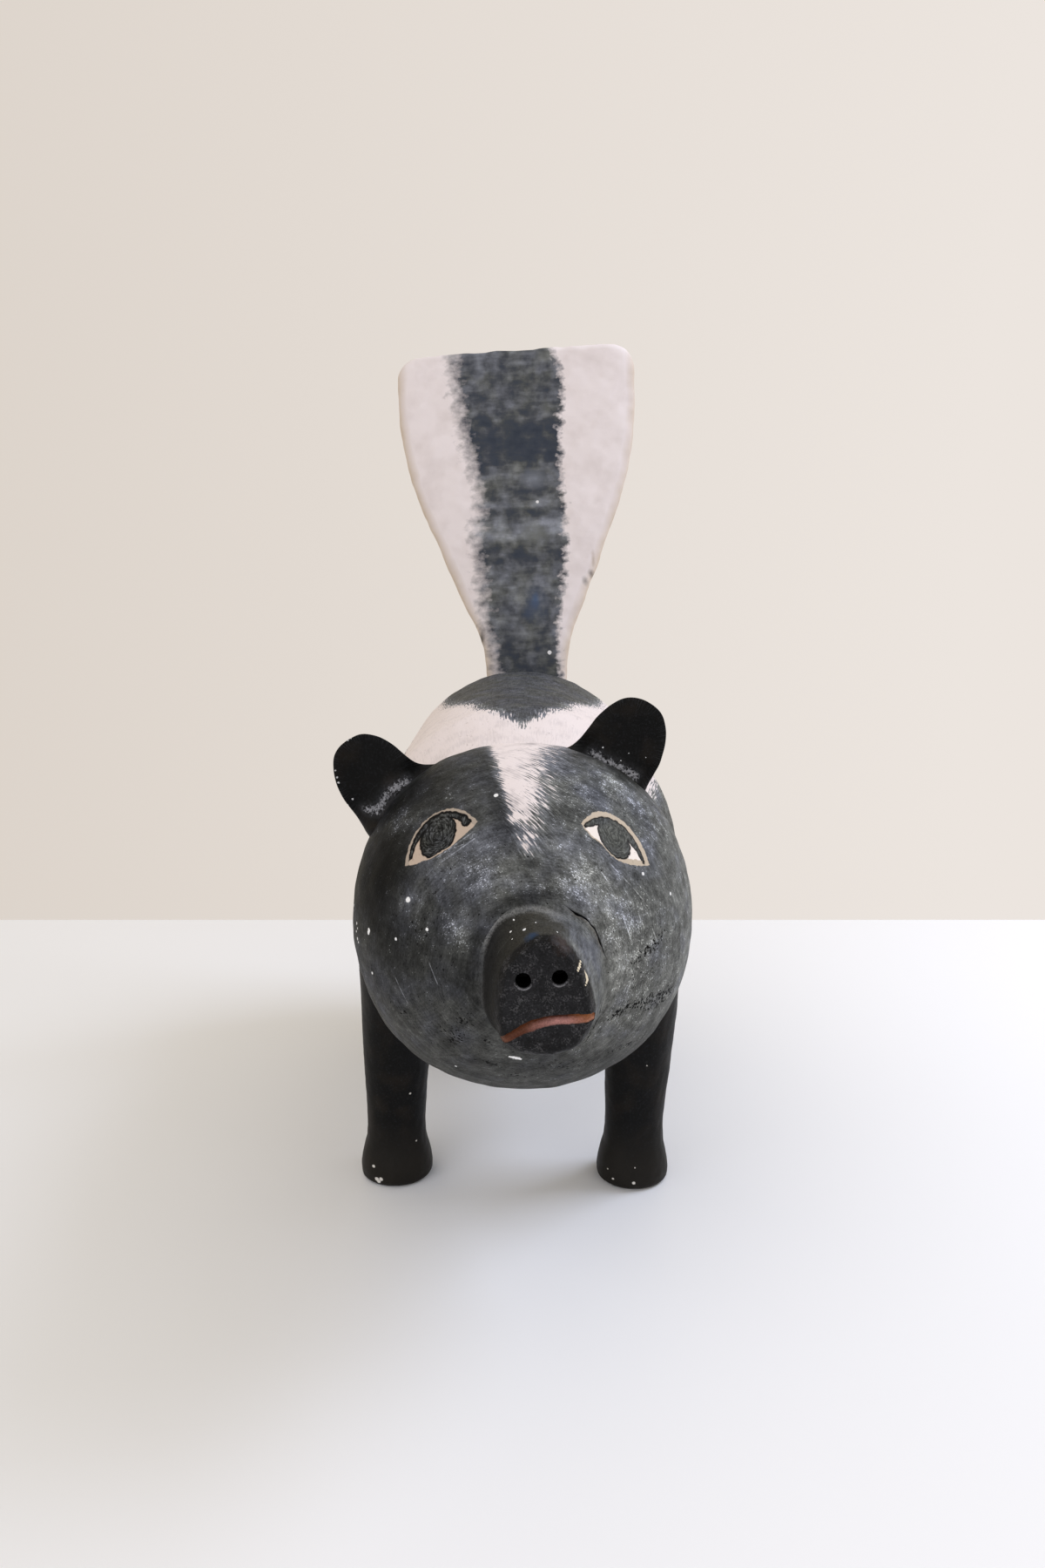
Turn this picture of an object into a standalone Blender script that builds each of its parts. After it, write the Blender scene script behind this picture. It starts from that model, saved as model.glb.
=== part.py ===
# A life-size skunk, carved and painted: one log makes the head, neck and body, and
# the muzzle, two ears, four legs and a tail board are fixed to it. It faces -Y, its
# own left is +X, and it stands on Z = 0.

import math

import bmesh
import bpy
import numpy as np
from mathutils import Vector

# Driving dimensions, in metres. Distances "back" run along +Y from the middle of
# the head, and heights on the log run from its axis.
HEAD_RADIUS = 0.075
NECK_RADIUS = 0.067
BARREL_RADIUS = 0.082
AXIS_HEIGHT = 0.169
NECK_BACK = 0.042
SHOULDER_BACK = 0.102
RUMP_BACK = 0.285
LOG_END_BACK = 0.355
RUMP_POWER = 2.4
CROWN_RISE = 0.003
CORNER_SWELL = 0.002
GAP = 0.0003

# Where the middle of the head sits, so that the origin is under the middle of the
# whole skunk.
HEAD_PLACE = Vector((0.0018, -0.1292, AXIS_HEIGHT))

# The muzzle is a short oval stub, a little to the skunk's left of the log's axis. Its
# root spreads to lie flush with the head, and is let into it as far as the seat.
MUZZLE_X = 0.0086
MUZZLE_TIP_FRONT = 0.0950
MUZZLE_TIP_DOME = 0.0015
MUZZLE_TIP_HALF = (0.0176, 0.0234)
MUZZLE_TIP_Z = -0.0010
MUZZLE_ROOT_HALF = (0.0245, 0.0288)
MUZZLE_ROOT_Z = -0.0040
MUZZLE_SEAT_FRONT = 0.060
MUZZLE_POWER = 2.3
MUZZLE_EGG = 0.10
# Where its rounded edge starts on the face and ends on the side, and where the side
# starts to spread into the root, as shares of the face and of the side.
MUZZLE_EDGE_FACE = 0.86
MUZZLE_EDGE_SIDE = 0.20
MUZZLE_SPREAD_SIDE = 0.72
MUZZLE_SPREAD_ROOT = 0.92

# Two drilled nostrils and a carved mouth on the muzzle's face.
NOSTRIL_RADIUS = 0.0030
NOSTRIL_DEPTH = 0.012
NOSTRIL_PLACES = ((0.0003, 0.0049), (0.0137, 0.0062))
MOUTH_RADIUS = 0.0018
MOUTH_ENDS = ((0.0262, -0.0088), (-0.0075, -0.0188))
MOUTH_HANDLES = ((0.0170, -0.0098), (0.0050, -0.0092))
MOUTH_PROUD = 0.0010
MOUTH_DROP_AT_SIDES = 0.0022
MOUTH_WIDEST = 0.42
MOUTH_TAPER = 0.45

# A leg's outline: height above its sole and half-width there.
LEG_OUTLINE = (
    (0.000, 0.0168),
    (0.0012, 0.0184),
    (0.0045, 0.0193),
    (0.009, 0.0190),
    (0.015, 0.0178),
    (0.021, 0.0164),
    (0.027, 0.0159),
    (0.045, 0.0163),
    (0.065, 0.0176),
    (0.085, 0.0185),
    (0.104, 0.0191),
    (0.125, 0.0196),
    (0.142, 0.0190),
    (0.154, 0.0158),
    (0.162, 0.0098),
)
LEG_TOP = 0.1655
LEG_POWER = 2.1
HAUNCH_START = 0.060
HAUNCH_FULL = 0.130

# Each leg: sole's X and distance back, how far its top leans towards the body's
# side in X, and how much longer than wide its haunch is.
LEGS = {
    "leg_front_left": (0.0590, 0.079, 0.0040, 1.35),
    "leg_front_right": (-0.0680, 0.082, -0.0020, 1.35),
    "leg_rear_left": (0.0610, 0.258, 0.0030, 1.65),
    "leg_rear_right": (-0.0660, 0.258, -0.0010, 1.65),
}

# Each ear: where its bowl meets the head (X, back, Z), the angle of its axis from
# +X towards +Z, its length, its half-width and how far its root spreads to the crown.
EARS = {
    "ear_left": ((0.0392, 0.003, 0.0674), 64.0, 0.0328, 0.0180, 0.0026),
    "ear_right": ((-0.0585, 0.001, 0.0548), 123.0, 0.0308, 0.0172, 0.0095),
}
EAR_ROOT = 0.012
EAR_BASE = 0.004
EAR_POWER = 2.4
EAR_BOWL = 0.0055
EAR_EDGE = 0.0022
EAR_MIDDLE = 0.0042
EAR_BOWL_START = 0.4
EAR_SPREAD_REACH = 0.0035
EAR_SPREAD_MOST = 0.014
EAR_FILLET = 0.0025
EAR_FILLET_REACH = 0.0050
EAR_FILLET_MOST = 0.010

# The tail board: half-width at each height above its foot, thickness, and how it
# leans back, tips to the skunk's right and has its top sawn aslant.
TAIL_FOOT = (0.0048, 0.3145, 0.040)
TAIL_OUTLINE = (
    (0.000, 0.0278),
    (0.037, 0.0281),
    (0.050, 0.0288),
    (0.064, 0.0325),
    (0.0885, 0.0425),
    (0.114, 0.0525),
    (0.145, 0.0650),
    (0.171, 0.0740),
    (0.205, 0.0802),
    (0.237, 0.0815),
)
TAIL_HEIGHT = 0.257
TAIL_FOOT_THICK = 0.030
TAIL_TOP_THICK = 0.025
TAIL_POWER = 4.5
TAIL_CORNER = 0.016
TAIL_ROUNDING = 0.004
TAIL_LEAN = math.radians(6.0)
TAIL_TIP = math.radians(-2.25)
TAIL_TOP_SLOPE = math.tan(math.radians(1.6))

# How finely each piece is divided: sides round it, and rings along it.
LOG_SIDES = 48
MUZZLE_SIDES = 40
LEG_SIDES = 20
EAR_SIDES = 24
TAIL_SIDES = 28
HEAD_RINGS = 9
NECK_RINGS = 10
BARREL_RINGS = 4
RUMP_RINGS = 9
EAR_RINGS = 8
TAIL_RINGS = 15
TAIL_CORNER_RINGS = 5

COLLECTION_NAME = "skunk"
CUTTER_COLLECTION_NAME = "cutters"


def empty_scene():
    for thing in list(bpy.data.objects):
        bpy.data.objects.remove(thing, do_unlink=True)


def new_collection(name):
    collection = bpy.data.collections.new(name)
    bpy.context.scene.collection.children.link(collection)
    return collection


def painted_wood(name, colour, roughness):
    """A plain material of one painted colour, given in linear values."""
    material = bpy.data.materials.new(name)
    material.use_nodes = True
    shader = material.node_tree.nodes["Principled BSDF"]
    shader.inputs["Base Color"].default_value = (*colour, 1.0)
    shader.inputs["Roughness"].default_value = roughness
    shader.inputs["Metallic"].default_value = 0.0
    return material


def eased(value):
    """0 to 1 with no corner at either end."""
    value = np.clip(value, 0.0, 1.0)
    return value * value * (3.0 - 2.0 * value)


def between(start, end, share):
    return start + (end - start) * share


def curve_between(start, corner, end, share):
    """A point of the rounded corner that runs from start to end."""
    return between(between(start, corner, share), between(corner, end, share), share)


def through(stations, value):
    """The smooth curve through (place, size) stations, read at value."""
    places, sizes = np.array(stations).T
    slopes = np.gradient(sizes, places)
    i = int(np.clip(np.searchsorted(places, value) - 1, 0, len(places) - 2))
    step = places[i + 1] - places[i]
    t = (value - places[i]) / step
    low = (1 + 2 * t) * (1 - t) ** 2 * sizes[i] + t * (1 - t) ** 2 * step * slopes[i]
    high = t**2 * (3 - 2 * t) * sizes[i + 1] + t**2 * (t - 1) * step * slopes[i + 1]
    return float(low + high)


def round_angles(count):
    return np.arange(count) * (2.0 * math.pi / count)


def oval(angles, half_x, half_y, power):
    """A superellipse: power 2 is an ellipse, and more is squarer."""
    c, s = np.cos(angles), np.sin(angles)
    x = half_x * np.sign(c) * np.abs(c) ** (2.0 / power)
    y = half_y * np.sign(s) * np.abs(s) ** (2.0 / power)
    return x, y


def loft(name, rings, start=None, end=None):
    """A closed mesh over rings of points. An end closes to a point, or flat if none is given."""
    mesh = bpy.data.meshes.new(name)
    work = bmesh.new()
    rows = [[work.verts.new(point) for point in ring] for ring in rings]
    sides = len(rows[0])
    for low, high in zip(rows, rows[1:]):
        for i in range(sides):
            j = (i + 1) % sides
            work.faces.new((low[i], low[j], high[j], high[i]))
    for row, tip in ((rows[0], start), (rows[-1], end)):
        if tip is None:
            work.faces.new(row)
            continue
        point = work.verts.new(tip)
        for i in range(sides):
            work.faces.new((row[i], row[(i + 1) % sides], point))
    bmesh.ops.recalc_face_normals(work, faces=work.faces)
    work.to_mesh(mesh)
    work.free()
    mesh.shade_smooth()
    mesh.set_sharp_from_angle(angle=math.radians(40))
    return mesh


def swollen(mesh, distance):
    """A copy of the mesh with every point moved out by the distance."""
    copy = mesh.copy()
    work = bmesh.new()
    work.from_mesh(copy)
    work.normal_update()
    for vertex in work.verts:
        vertex.co += vertex.normal * distance
    work.to_mesh(copy)
    work.free()
    return copy


def add_piece(name, mesh, collection, material, place, turn=(0.0, 0.0, 0.0)):
    piece = bpy.data.objects.new(name, mesh)
    collection.objects.link(piece)
    piece.data.materials.append(material)
    piece.location = place
    piece.rotation_euler = turn
    return piece


def add_cutter(name, mesh, collection, like=None):
    """A hidden shape that cuts others, placed as the piece that it is like."""
    cutter = bpy.data.objects.new(name, mesh)
    collection.objects.link(cutter)
    cutter.location = like.location if like else HEAD_PLACE
    if like:
        cutter.rotation_euler = like.rotation_euler
    cutter.hide_render = True
    cutter.display_type = "WIRE"
    return cutter


def cut(piece, cutter):
    boolean = piece.modifiers.new(cutter.name, "BOOLEAN")
    boolean.operation = "DIFFERENCE"
    boolean.solver = "EXACT"
    boolean.object = cutter


def log_radius(back):
    """Half-width of the log: the ball of the head, then neck, barrel and rump."""
    if back < 0.0:
        return math.sqrt(HEAD_RADIUS**2 - back**2)
    if back < NECK_BACK:
        return HEAD_RADIUS - (HEAD_RADIUS - NECK_RADIUS) * eased(back / NECK_BACK)
    if back < RUMP_BACK:
        swell = eased((back - NECK_BACK) / (SHOULDER_BACK - NECK_BACK))
        return between(NECK_RADIUS, BARREL_RADIUS, swell)
    share = (back - RUMP_BACK) / (LOG_END_BACK - RUMP_BACK)
    return BARREL_RADIUS * (1.0 - share**RUMP_POWER) ** (1.0 / RUMP_POWER)


def head_carving(ring):
    """The crown stands a little proud of a true ball, and the ball is a little square."""
    x, y, z = ring.T
    out = np.maximum(np.hypot(x, z), 1e-6)
    near = np.exp(-((y / (0.6 * HEAD_RADIUS)) ** 2))
    crown = CROWN_RISE * np.clip(z / out, 0.0, 1.0) ** 2
    corners = CORNER_SWELL * (2.0 * x * z / out**2) ** 2
    grow = 1.0 + near * (crown + corners) / HEAD_RADIUS
    return np.column_stack((x * grow, y, z * grow))


def log_mesh(name):
    """The log from the front of the head to the end of the rump, as rings along Y."""
    quarter = math.pi / 2
    backs = [*(-HEAD_RADIUS * np.cos(np.linspace(0.0, quarter, HEAD_RINGS + 1)))[1:]]
    backs += [*np.linspace(0.0, SHOULDER_BACK, NECK_RINGS + 1)[1:]]
    backs += [*np.linspace(SHOULDER_BACK, RUMP_BACK, BARREL_RINGS + 1)[1:]]
    rump_shares = np.sin(np.linspace(0.0, quarter, RUMP_RINGS + 1))[1:-1]
    backs += [*between(RUMP_BACK, LOG_END_BACK, rump_shares)]
    rings = []
    for back in backs:
        x, z = oval(round_angles(LOG_SIDES), log_radius(back), log_radius(back), 2.0)
        rings.append(head_carving(np.column_stack((x, np.full_like(x, back), z))))
    return loft(name, rings, start=(0.0, -HEAD_RADIUS, 0.0), end=(0.0, LOG_END_BACK, 0.0))


def muzzle_oval(half, middle_z, scale=1.0):
    """X and Z of an oval round the muzzle, wider below its middle than above."""
    x, z = oval(round_angles(MUZZLE_SIDES), half[0], half[1], MUZZLE_POWER)
    x = x * (1.0 - MUZZLE_EGG * z / half[1])
    return MUZZLE_X + x * scale, middle_z + z * scale


def muzzle_face(scale):
    """A ring on the muzzle's slightly domed face, 1 at its edge."""
    x, z = muzzle_oval(MUZZLE_TIP_HALF, MUZZLE_TIP_Z, scale)
    front = MUZZLE_TIP_FRONT + MUZZLE_TIP_DOME * (1.0 - scale**2)
    return np.column_stack((x, np.full_like(x, -front), z))


def muzzle_root(scale):
    """A ring of the muzzle's root on the ball of the head, 1 at its edge."""
    x, z = muzzle_oval(MUZZLE_ROOT_HALF, MUZZLE_ROOT_Z, scale)
    return np.column_stack((x, -np.sqrt(HEAD_RADIUS**2 - x**2 - z**2), z))


def muzzle_mesh(name):
    """Face, rounded edge, sides and spreading root, then straight back to the flat seat."""
    edge, root = muzzle_face(1.0), muzzle_root(1.0)
    spread_corner = muzzle_root(MUZZLE_SPREAD_ROOT)
    edge_end = between(edge, spread_corner, MUZZLE_EDGE_SIDE)
    spread_start = between(edge, spread_corner, MUZZLE_SPREAD_SIDE)
    rings = [muzzle_face(scale) for scale in (0.35, 0.65)]
    for share in (0.0, 0.3, 0.6, 1.0):
        rings.append(curve_between(muzzle_face(MUZZLE_EDGE_FACE), edge, edge_end, share))
    for share in (0.0, 0.35, 0.7, 1.0):
        rings.append(curve_between(spread_start, spread_corner, root, share))
    seat = root.copy()
    seat[:, 1] = -MUZZLE_SEAT_FRONT
    tip = (MUZZLE_X, -MUZZLE_TIP_FRONT - MUZZLE_TIP_DOME, MUZZLE_TIP_Z)
    return loft(name, [*rings, seat], start=tip)


def add_nostril_cutters(collection):
    cutters = []
    for number, (x, z) in enumerate(NOSTRIL_PLACES, start=1):
        work = bmesh.new()
        bmesh.ops.create_cone(
            work,
            cap_ends=True,
            segments=16,
            radius1=NOSTRIL_RADIUS,
            radius2=NOSTRIL_RADIUS,
            depth=2.0 * NOSTRIL_DEPTH,
        )
        for vertex in work.verts:
            along, up = vertex.co.z, vertex.co.y
            middle = -MUZZLE_TIP_FRONT
            vertex.co = Vector((vertex.co.x + x, along + middle, -up + z))
        bmesh.ops.recalc_face_normals(work, faces=work.faces)
        mesh = bpy.data.meshes.new(f"nostril_{number}")
        work.to_mesh(mesh)
        work.free()
        cutters.append(add_cutter(f"nostril_{number}", mesh, collection))
    return cutters


def mouth_path():
    """Points along the mouth, an arch that droops at the skunk's right, and its width at each."""
    (left, right), (near_left, near_right) = np.array(MOUTH_ENDS), np.array(MOUTH_HANDLES)
    points = []
    for share in np.linspace(0.0, 1.0, 13):
        x, z = between(
            curve_between(left, near_left, near_right, share),
            curve_between(near_left, near_right, right, share),
            share,
        )
        across = (x - MUZZLE_X) / MUZZLE_TIP_HALF[0]
        front = MUZZLE_TIP_FRONT + MOUTH_PROUD - MOUTH_DROP_AT_SIDES * abs(across) ** 6
        width = 1.0 - MOUTH_TAPER * abs(2.0 * (share - MOUTH_WIDEST)) ** 3
        points.append(((x, -front, z), width))
    return points


def add_mouth_cutter(collection):
    curve = bpy.data.curves.new("mouth_path", "CURVE")
    curve.dimensions = "3D"
    curve.bevel_depth = MOUTH_RADIUS
    curve.bevel_resolution = 2
    curve.use_fill_caps = True
    points = mouth_path()
    spline = curve.splines.new("POLY")
    spline.points.add(len(points) - 1)
    for point, (place, width) in zip(spline.points, points):
        point.co = (*place, 1.0)
        point.radius = width
    path = bpy.data.objects.new("mouth_path", curve)
    collection.objects.link(path)
    graph = bpy.context.evaluated_depsgraph_get()
    mesh = bpy.data.meshes.new_from_object(path.evaluated_get(graph))
    bpy.data.objects.remove(path, do_unlink=True)
    work = bmesh.new()
    work.from_mesh(mesh)
    bmesh.ops.remove_doubles(work, verts=work.verts, dist=1e-6)
    bmesh.ops.recalc_face_normals(work, faces=work.faces)
    work.to_mesh(mesh)
    work.free()
    return add_cutter("mouth", mesh, collection)


def leg_mesh(name, side, lean, haunch):
    """A post on a bell-shaped foot that swells to a rounded haunch. Side is 1 for +X."""
    rings = []
    for height, half in LEG_OUTLINE:
        swell = eased((height - HAUNCH_START) / (HAUNCH_FULL - HAUNCH_START))
        longer = between(1.0, haunch, swell)
        x, y = oval(round_angles(LEG_SIDES), half, half * longer, LEG_POWER)
        shift = side * lean * eased(height / HAUNCH_FULL)
        rings.append(np.column_stack((x + shift, y, np.full_like(x, height))))
    return loft(name, rings, end=(side * lean, 0.0, LEG_TOP))


def ear_mesh(name, length, half_width, spread, crown_side):
    """A thin leaf with its bowl towards -Y, on a root that spreads towards the crown.

    Z runs along the ear, and crown_side is 1 where the crown lies towards its +X.
    """
    angles = round_angles(EAR_SIDES)
    c, s = np.cos(angles), np.sin(angles)
    root = np.linspace(-EAR_ROOT, EAR_BASE, EAR_RINGS)
    leaf = length * np.sin(np.linspace(0.25, 1.45, EAR_RINGS))
    rings = []
    for along in (*root, *leaf):
        share = max(along, 0.0) / length
        half = half_width * (1.0 - share**EAR_POWER) ** (1.0 / EAR_POWER)
        wider = min(spread * math.exp(-along / EAR_SPREAD_REACH), EAR_SPREAD_MOST)
        x = half * c + wider * np.clip(c * crown_side, 0.0, 1.0) * crown_side
        middle = between(EAR_MIDDLE, EAR_EDGE, share)
        thick = between(EAR_EDGE, middle, s**2)
        fillet = min(EAR_FILLET * math.exp(-along / EAR_FILLET_REACH), EAR_FILLET_MOST)
        thick = thick + fillet * between(1.0, 2.0, s < 0)
        bowl = EAR_BOWL * math.sqrt(1.0 - share) * eased(share / EAR_BOWL_START)
        edges_forward = bowl * c**2
        tip_forward = EAR_BOWL * share**2
        y = 0.5 * thick * np.sign(s) * np.abs(s) ** 0.6 - edges_forward - tip_forward
        rings.append(np.column_stack((x, y, np.full_like(x, along))))
    return loft(name, rings, end=(0.0, -EAR_BOWL, length))


def tail_mesh(name):
    """A paddle board, narrow at its foot and wide at its sawn top."""
    rings = []
    corner_start = TAIL_HEIGHT - TAIL_CORNER
    heights = [*np.linspace(0.0, corner_start, TAIL_RINGS)]
    corner_rise = np.sin(np.linspace(0.0, math.pi / 2, TAIL_CORNER_RINGS + 1))
    heights += [*(corner_start + TAIL_CORNER * corner_rise)[1:]]
    top_half = TAIL_OUTLINE[-1][1]
    for height in heights:
        half = through(TAIL_OUTLINE, min(height, TAIL_OUTLINE[-1][0]))
        into_corner = max(height - corner_start, 0.0)
        if into_corner > 0.0:
            half = top_half - TAIL_CORNER + math.sqrt(max(TAIL_CORNER**2 - into_corner**2, 0.0))
        thick = between(TAIL_FOOT_THICK, TAIL_TOP_THICK, height / TAIL_HEIGHT)
        into_edge = max(height - (TAIL_HEIGHT - TAIL_ROUNDING), 0.0)
        edge = TAIL_ROUNDING - math.sqrt(max(TAIL_ROUNDING**2 - into_edge**2, 0.0))
        x, y = oval(round_angles(TAIL_SIDES), half, 0.5 * thick - edge, TAIL_POWER)
        z = height + TAIL_TOP_SLOPE * x * (height / TAIL_HEIGHT) ** 2
        rings.append(np.column_stack((x, y, z)))
    return loft(name, rings)


def main():
    empty_scene()
    skunk = new_collection(COLLECTION_NAME)
    cutters = new_collection(CUTTER_COLLECTION_NAME)
    black = painted_wood("black_paint", (0.020, 0.021, 0.024), 0.55)
    deep_black = painted_wood("satin_black_paint", (0.008, 0.008, 0.009), 0.42)
    tail_paint = painted_wood("white_paint", (0.78, 0.72, 0.70), 0.60)

    body = add_piece("body", log_mesh("body"), skunk, black, HEAD_PLACE)
    around_body = add_cutter("around_body", swollen(body.data, GAP), cutters, like=body)

    muzzle = add_piece("muzzle", muzzle_mesh("muzzle"), skunk, deep_black, HEAD_PLACE)
    muzzle_socket = swollen(muzzle.data, GAP)
    cut(body, add_cutter("muzzle_socket", muzzle_socket, cutters, like=muzzle))
    for nostril in add_nostril_cutters(cutters):
        cut(muzzle, nostril)
    cut(muzzle, add_mouth_cutter(cutters))

    for name, (x, back, lean, haunch) in LEGS.items():
        mesh = leg_mesh(name, math.copysign(1.0, x), lean, haunch)
        place = (HEAD_PLACE.x + x, HEAD_PLACE.y + back, 0.0)
        leg = add_piece(name, mesh, skunk, deep_black, place)
        cut(leg, around_body)

    for name, (root, angle, length, half_width, spread) in EARS.items():
        mesh = ear_mesh(name, length, half_width, spread, -math.copysign(1.0, root[0]))
        turn = (0.0, math.radians(90.0 - angle), 0.0)
        ear = add_piece(name, mesh, skunk, deep_black, HEAD_PLACE + Vector(root), turn)
        cut(ear, around_body)

    tail_turn = (-TAIL_LEAN, TAIL_TIP, 0.0)
    tail_place = HEAD_PLACE + Vector(TAIL_FOOT)
    tail = add_piece("tail", tail_mesh("tail"), skunk, tail_paint, tail_place, tail_turn)
    tail_socket = swollen(tail.data, GAP)
    cut(body, add_cutter("tail_socket", tail_socket, cutters, like=tail))


main()
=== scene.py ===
# A life-size skunk, carved from one log and painted by hand. A muzzle, two ears, four legs and a
# tail board are fixed to the log. Lengths are in millimetres from the middle of the head, with X to
# the skunk's own left, Y towards its tail and Z up, and a mesh is turned to metres when it is made.

import math
from functools import partial

import bpy
import numpy as np
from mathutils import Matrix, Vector


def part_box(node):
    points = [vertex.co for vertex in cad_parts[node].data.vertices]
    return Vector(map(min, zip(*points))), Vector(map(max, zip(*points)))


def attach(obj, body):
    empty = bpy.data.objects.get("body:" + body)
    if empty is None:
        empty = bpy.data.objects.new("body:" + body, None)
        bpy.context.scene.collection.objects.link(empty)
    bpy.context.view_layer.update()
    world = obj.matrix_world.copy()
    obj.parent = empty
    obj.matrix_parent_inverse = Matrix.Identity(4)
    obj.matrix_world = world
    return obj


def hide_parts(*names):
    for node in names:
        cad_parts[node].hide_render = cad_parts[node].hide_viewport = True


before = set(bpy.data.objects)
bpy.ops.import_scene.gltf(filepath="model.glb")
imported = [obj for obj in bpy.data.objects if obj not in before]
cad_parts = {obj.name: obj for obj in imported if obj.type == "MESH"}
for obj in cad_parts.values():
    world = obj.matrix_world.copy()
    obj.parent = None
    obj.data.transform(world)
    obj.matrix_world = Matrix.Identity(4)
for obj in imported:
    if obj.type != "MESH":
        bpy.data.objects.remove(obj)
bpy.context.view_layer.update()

bodyLow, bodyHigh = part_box("body")

log = {
    "headRadius": 75.0,
    "neckRadius": 67.0,
    "barrelRadius": 82.0,
    "neckBack": 42.0,  # how far behind the middle of the head each part starts
    "shoulderBack": 102.0,
    "rumpBack": 285.0,
    "endBack": 355.0,
    "rumpPower": 2.4,
    "crownRise": 3.0,  # how far the crown and the corners of the head are off a true ball
    "cornerSwell": 2.0,
    "sides": 420,
    "ballRows": 112,
    "neckRows": 40,
    "barrelRows": 34,
    "rumpRows": 28,
    "faceEnd": -40.0,  # the Y in front of which the log is the face
    "unevenness": ((0.18, 34.0, 11), (0.10, 11.0, 12)),  # of the knife: heights, lengths and seeds
}

headPlace = np.array((bodyLow + bodyHigh) / 2)
headPlace[1] = bodyHigh.y - log["endBack"] / 1000
axisHeight = headPlace[2] * 1000


# Curves and grids that every piece uses


def eased(value):
    # 0 to 1 with no corner at either end
    value = np.clip(value, 0.0, 1.0)
    return value * value * (3.0 - 2.0 * value)


def between(start, end, share):
    return start + (end - start) * share


def curveBetween(start, corner, end, share):
    # a point of the rounded corner that runs from start to end
    return between(between(start, corner, share), between(corner, end, share), share)


def through(stations, value):
    # the smooth cubic curve through (place, size) stations
    places, sizes = np.array(stations, float).T
    slopes = np.gradient(sizes, places)
    value = np.clip(value, places[0], places[-1])
    i = np.clip(np.searchsorted(places, value) - 1, 0, len(places) - 2)
    step = places[i + 1] - places[i]
    t = (value - places[i]) / step
    low = (1 + 2 * t) * (1 - t) ** 2 * sizes[i] + t * (1 - t) ** 2 * step * slopes[i]
    high = t**2 * (3 - 2 * t) * sizes[i + 1] + t**2 * (t - 1) * step * slopes[i + 1]
    return low + high


def power(value, exponent):
    # a power that keeps the sign
    return np.sign(value) * np.abs(value) ** exponent


def bell(value, wide):
    # 1 at 0 and close to nothing two widths away
    return np.exp(-((value / wide) ** 2))


def turned(x, z, place, degrees):
    # X and Z from a place, along and across a line that is turned up from X by so many degrees
    c, s = math.cos(math.radians(degrees)), math.sin(math.radians(degrees))
    x, z = x - place[0], z - place[1]
    return x * c + z * s, z * c - x * s


def column(values):
    # values down the rows of a grid
    return np.asarray(values, float)[:, None]


def squared(angles, exponent):
    # the two directions of a superellipse, a circle when its exponent is 2
    return power(np.cos(angles), 2 / exponent), power(np.sin(angles), 2 / exponent)


def roundAngles(sides):
    # angles along a grid's rows, once round
    return (np.arange(sides) * (2.0 * math.pi / sides))[None, :]


def stack(x, y, z):
    return np.stack(np.broadcast_arrays(x, y, z), axis=-1)


def waves(points, length, seed, count=26):
    # plane waves of random direction and phase added up, about 1 high
    random = np.random.default_rng(seed)
    directions = random.normal(size=(3, count))
    directions /= np.linalg.norm(directions, axis=0)
    pitches = 2.0 * math.pi / (length * random.uniform(0.7, 1.4, count))
    phases = random.uniform(0.0, 2.0 * math.pi, count)
    return np.cos(points @ (directions * pitches) + phases).sum(axis=-1) * math.sqrt(2.0 / count)


def placed(points, place, turn):
    # points of a piece's own frame, turned about X and then Y, and moved to its place
    aboutX, aboutY = turn
    x, y, z = np.moveaxis(points, -1, 0)
    y, z = y * math.cos(aboutX) - z * math.sin(aboutX), y * math.sin(aboutX) + z * math.cos(aboutX)
    x, z = x * math.cos(aboutY) + z * math.sin(aboutY), z * math.cos(aboutY) - x * math.sin(aboutY)
    return stack(x, y, z) + np.array(place)


def uneven(points, rows):
    # waves added up, each with its height, its length and its seed
    return sum(height * waves(points, length, seed) for height, length, seed in rows)


def raised(points, rise, share=(1, 1, 1)):
    # a grid that closes round its rows, moved along its unit normals, which come from the
    # differences between a point's neighbours
    beside = np.roll(points, -1, axis=1) - np.roll(points, 1, axis=1)
    normals = np.cross(beside, np.gradient(points, axis=0))
    normals = normals / np.maximum(np.linalg.norm(normals, axis=-1, keepdims=True), 1e-9)
    return points + normals * share * rise[..., None]


def addObject(name, data):
    thing = bpy.data.objects.new(name, data)
    bpy.context.scene.collection.objects.link(thing)
    return thing


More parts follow.
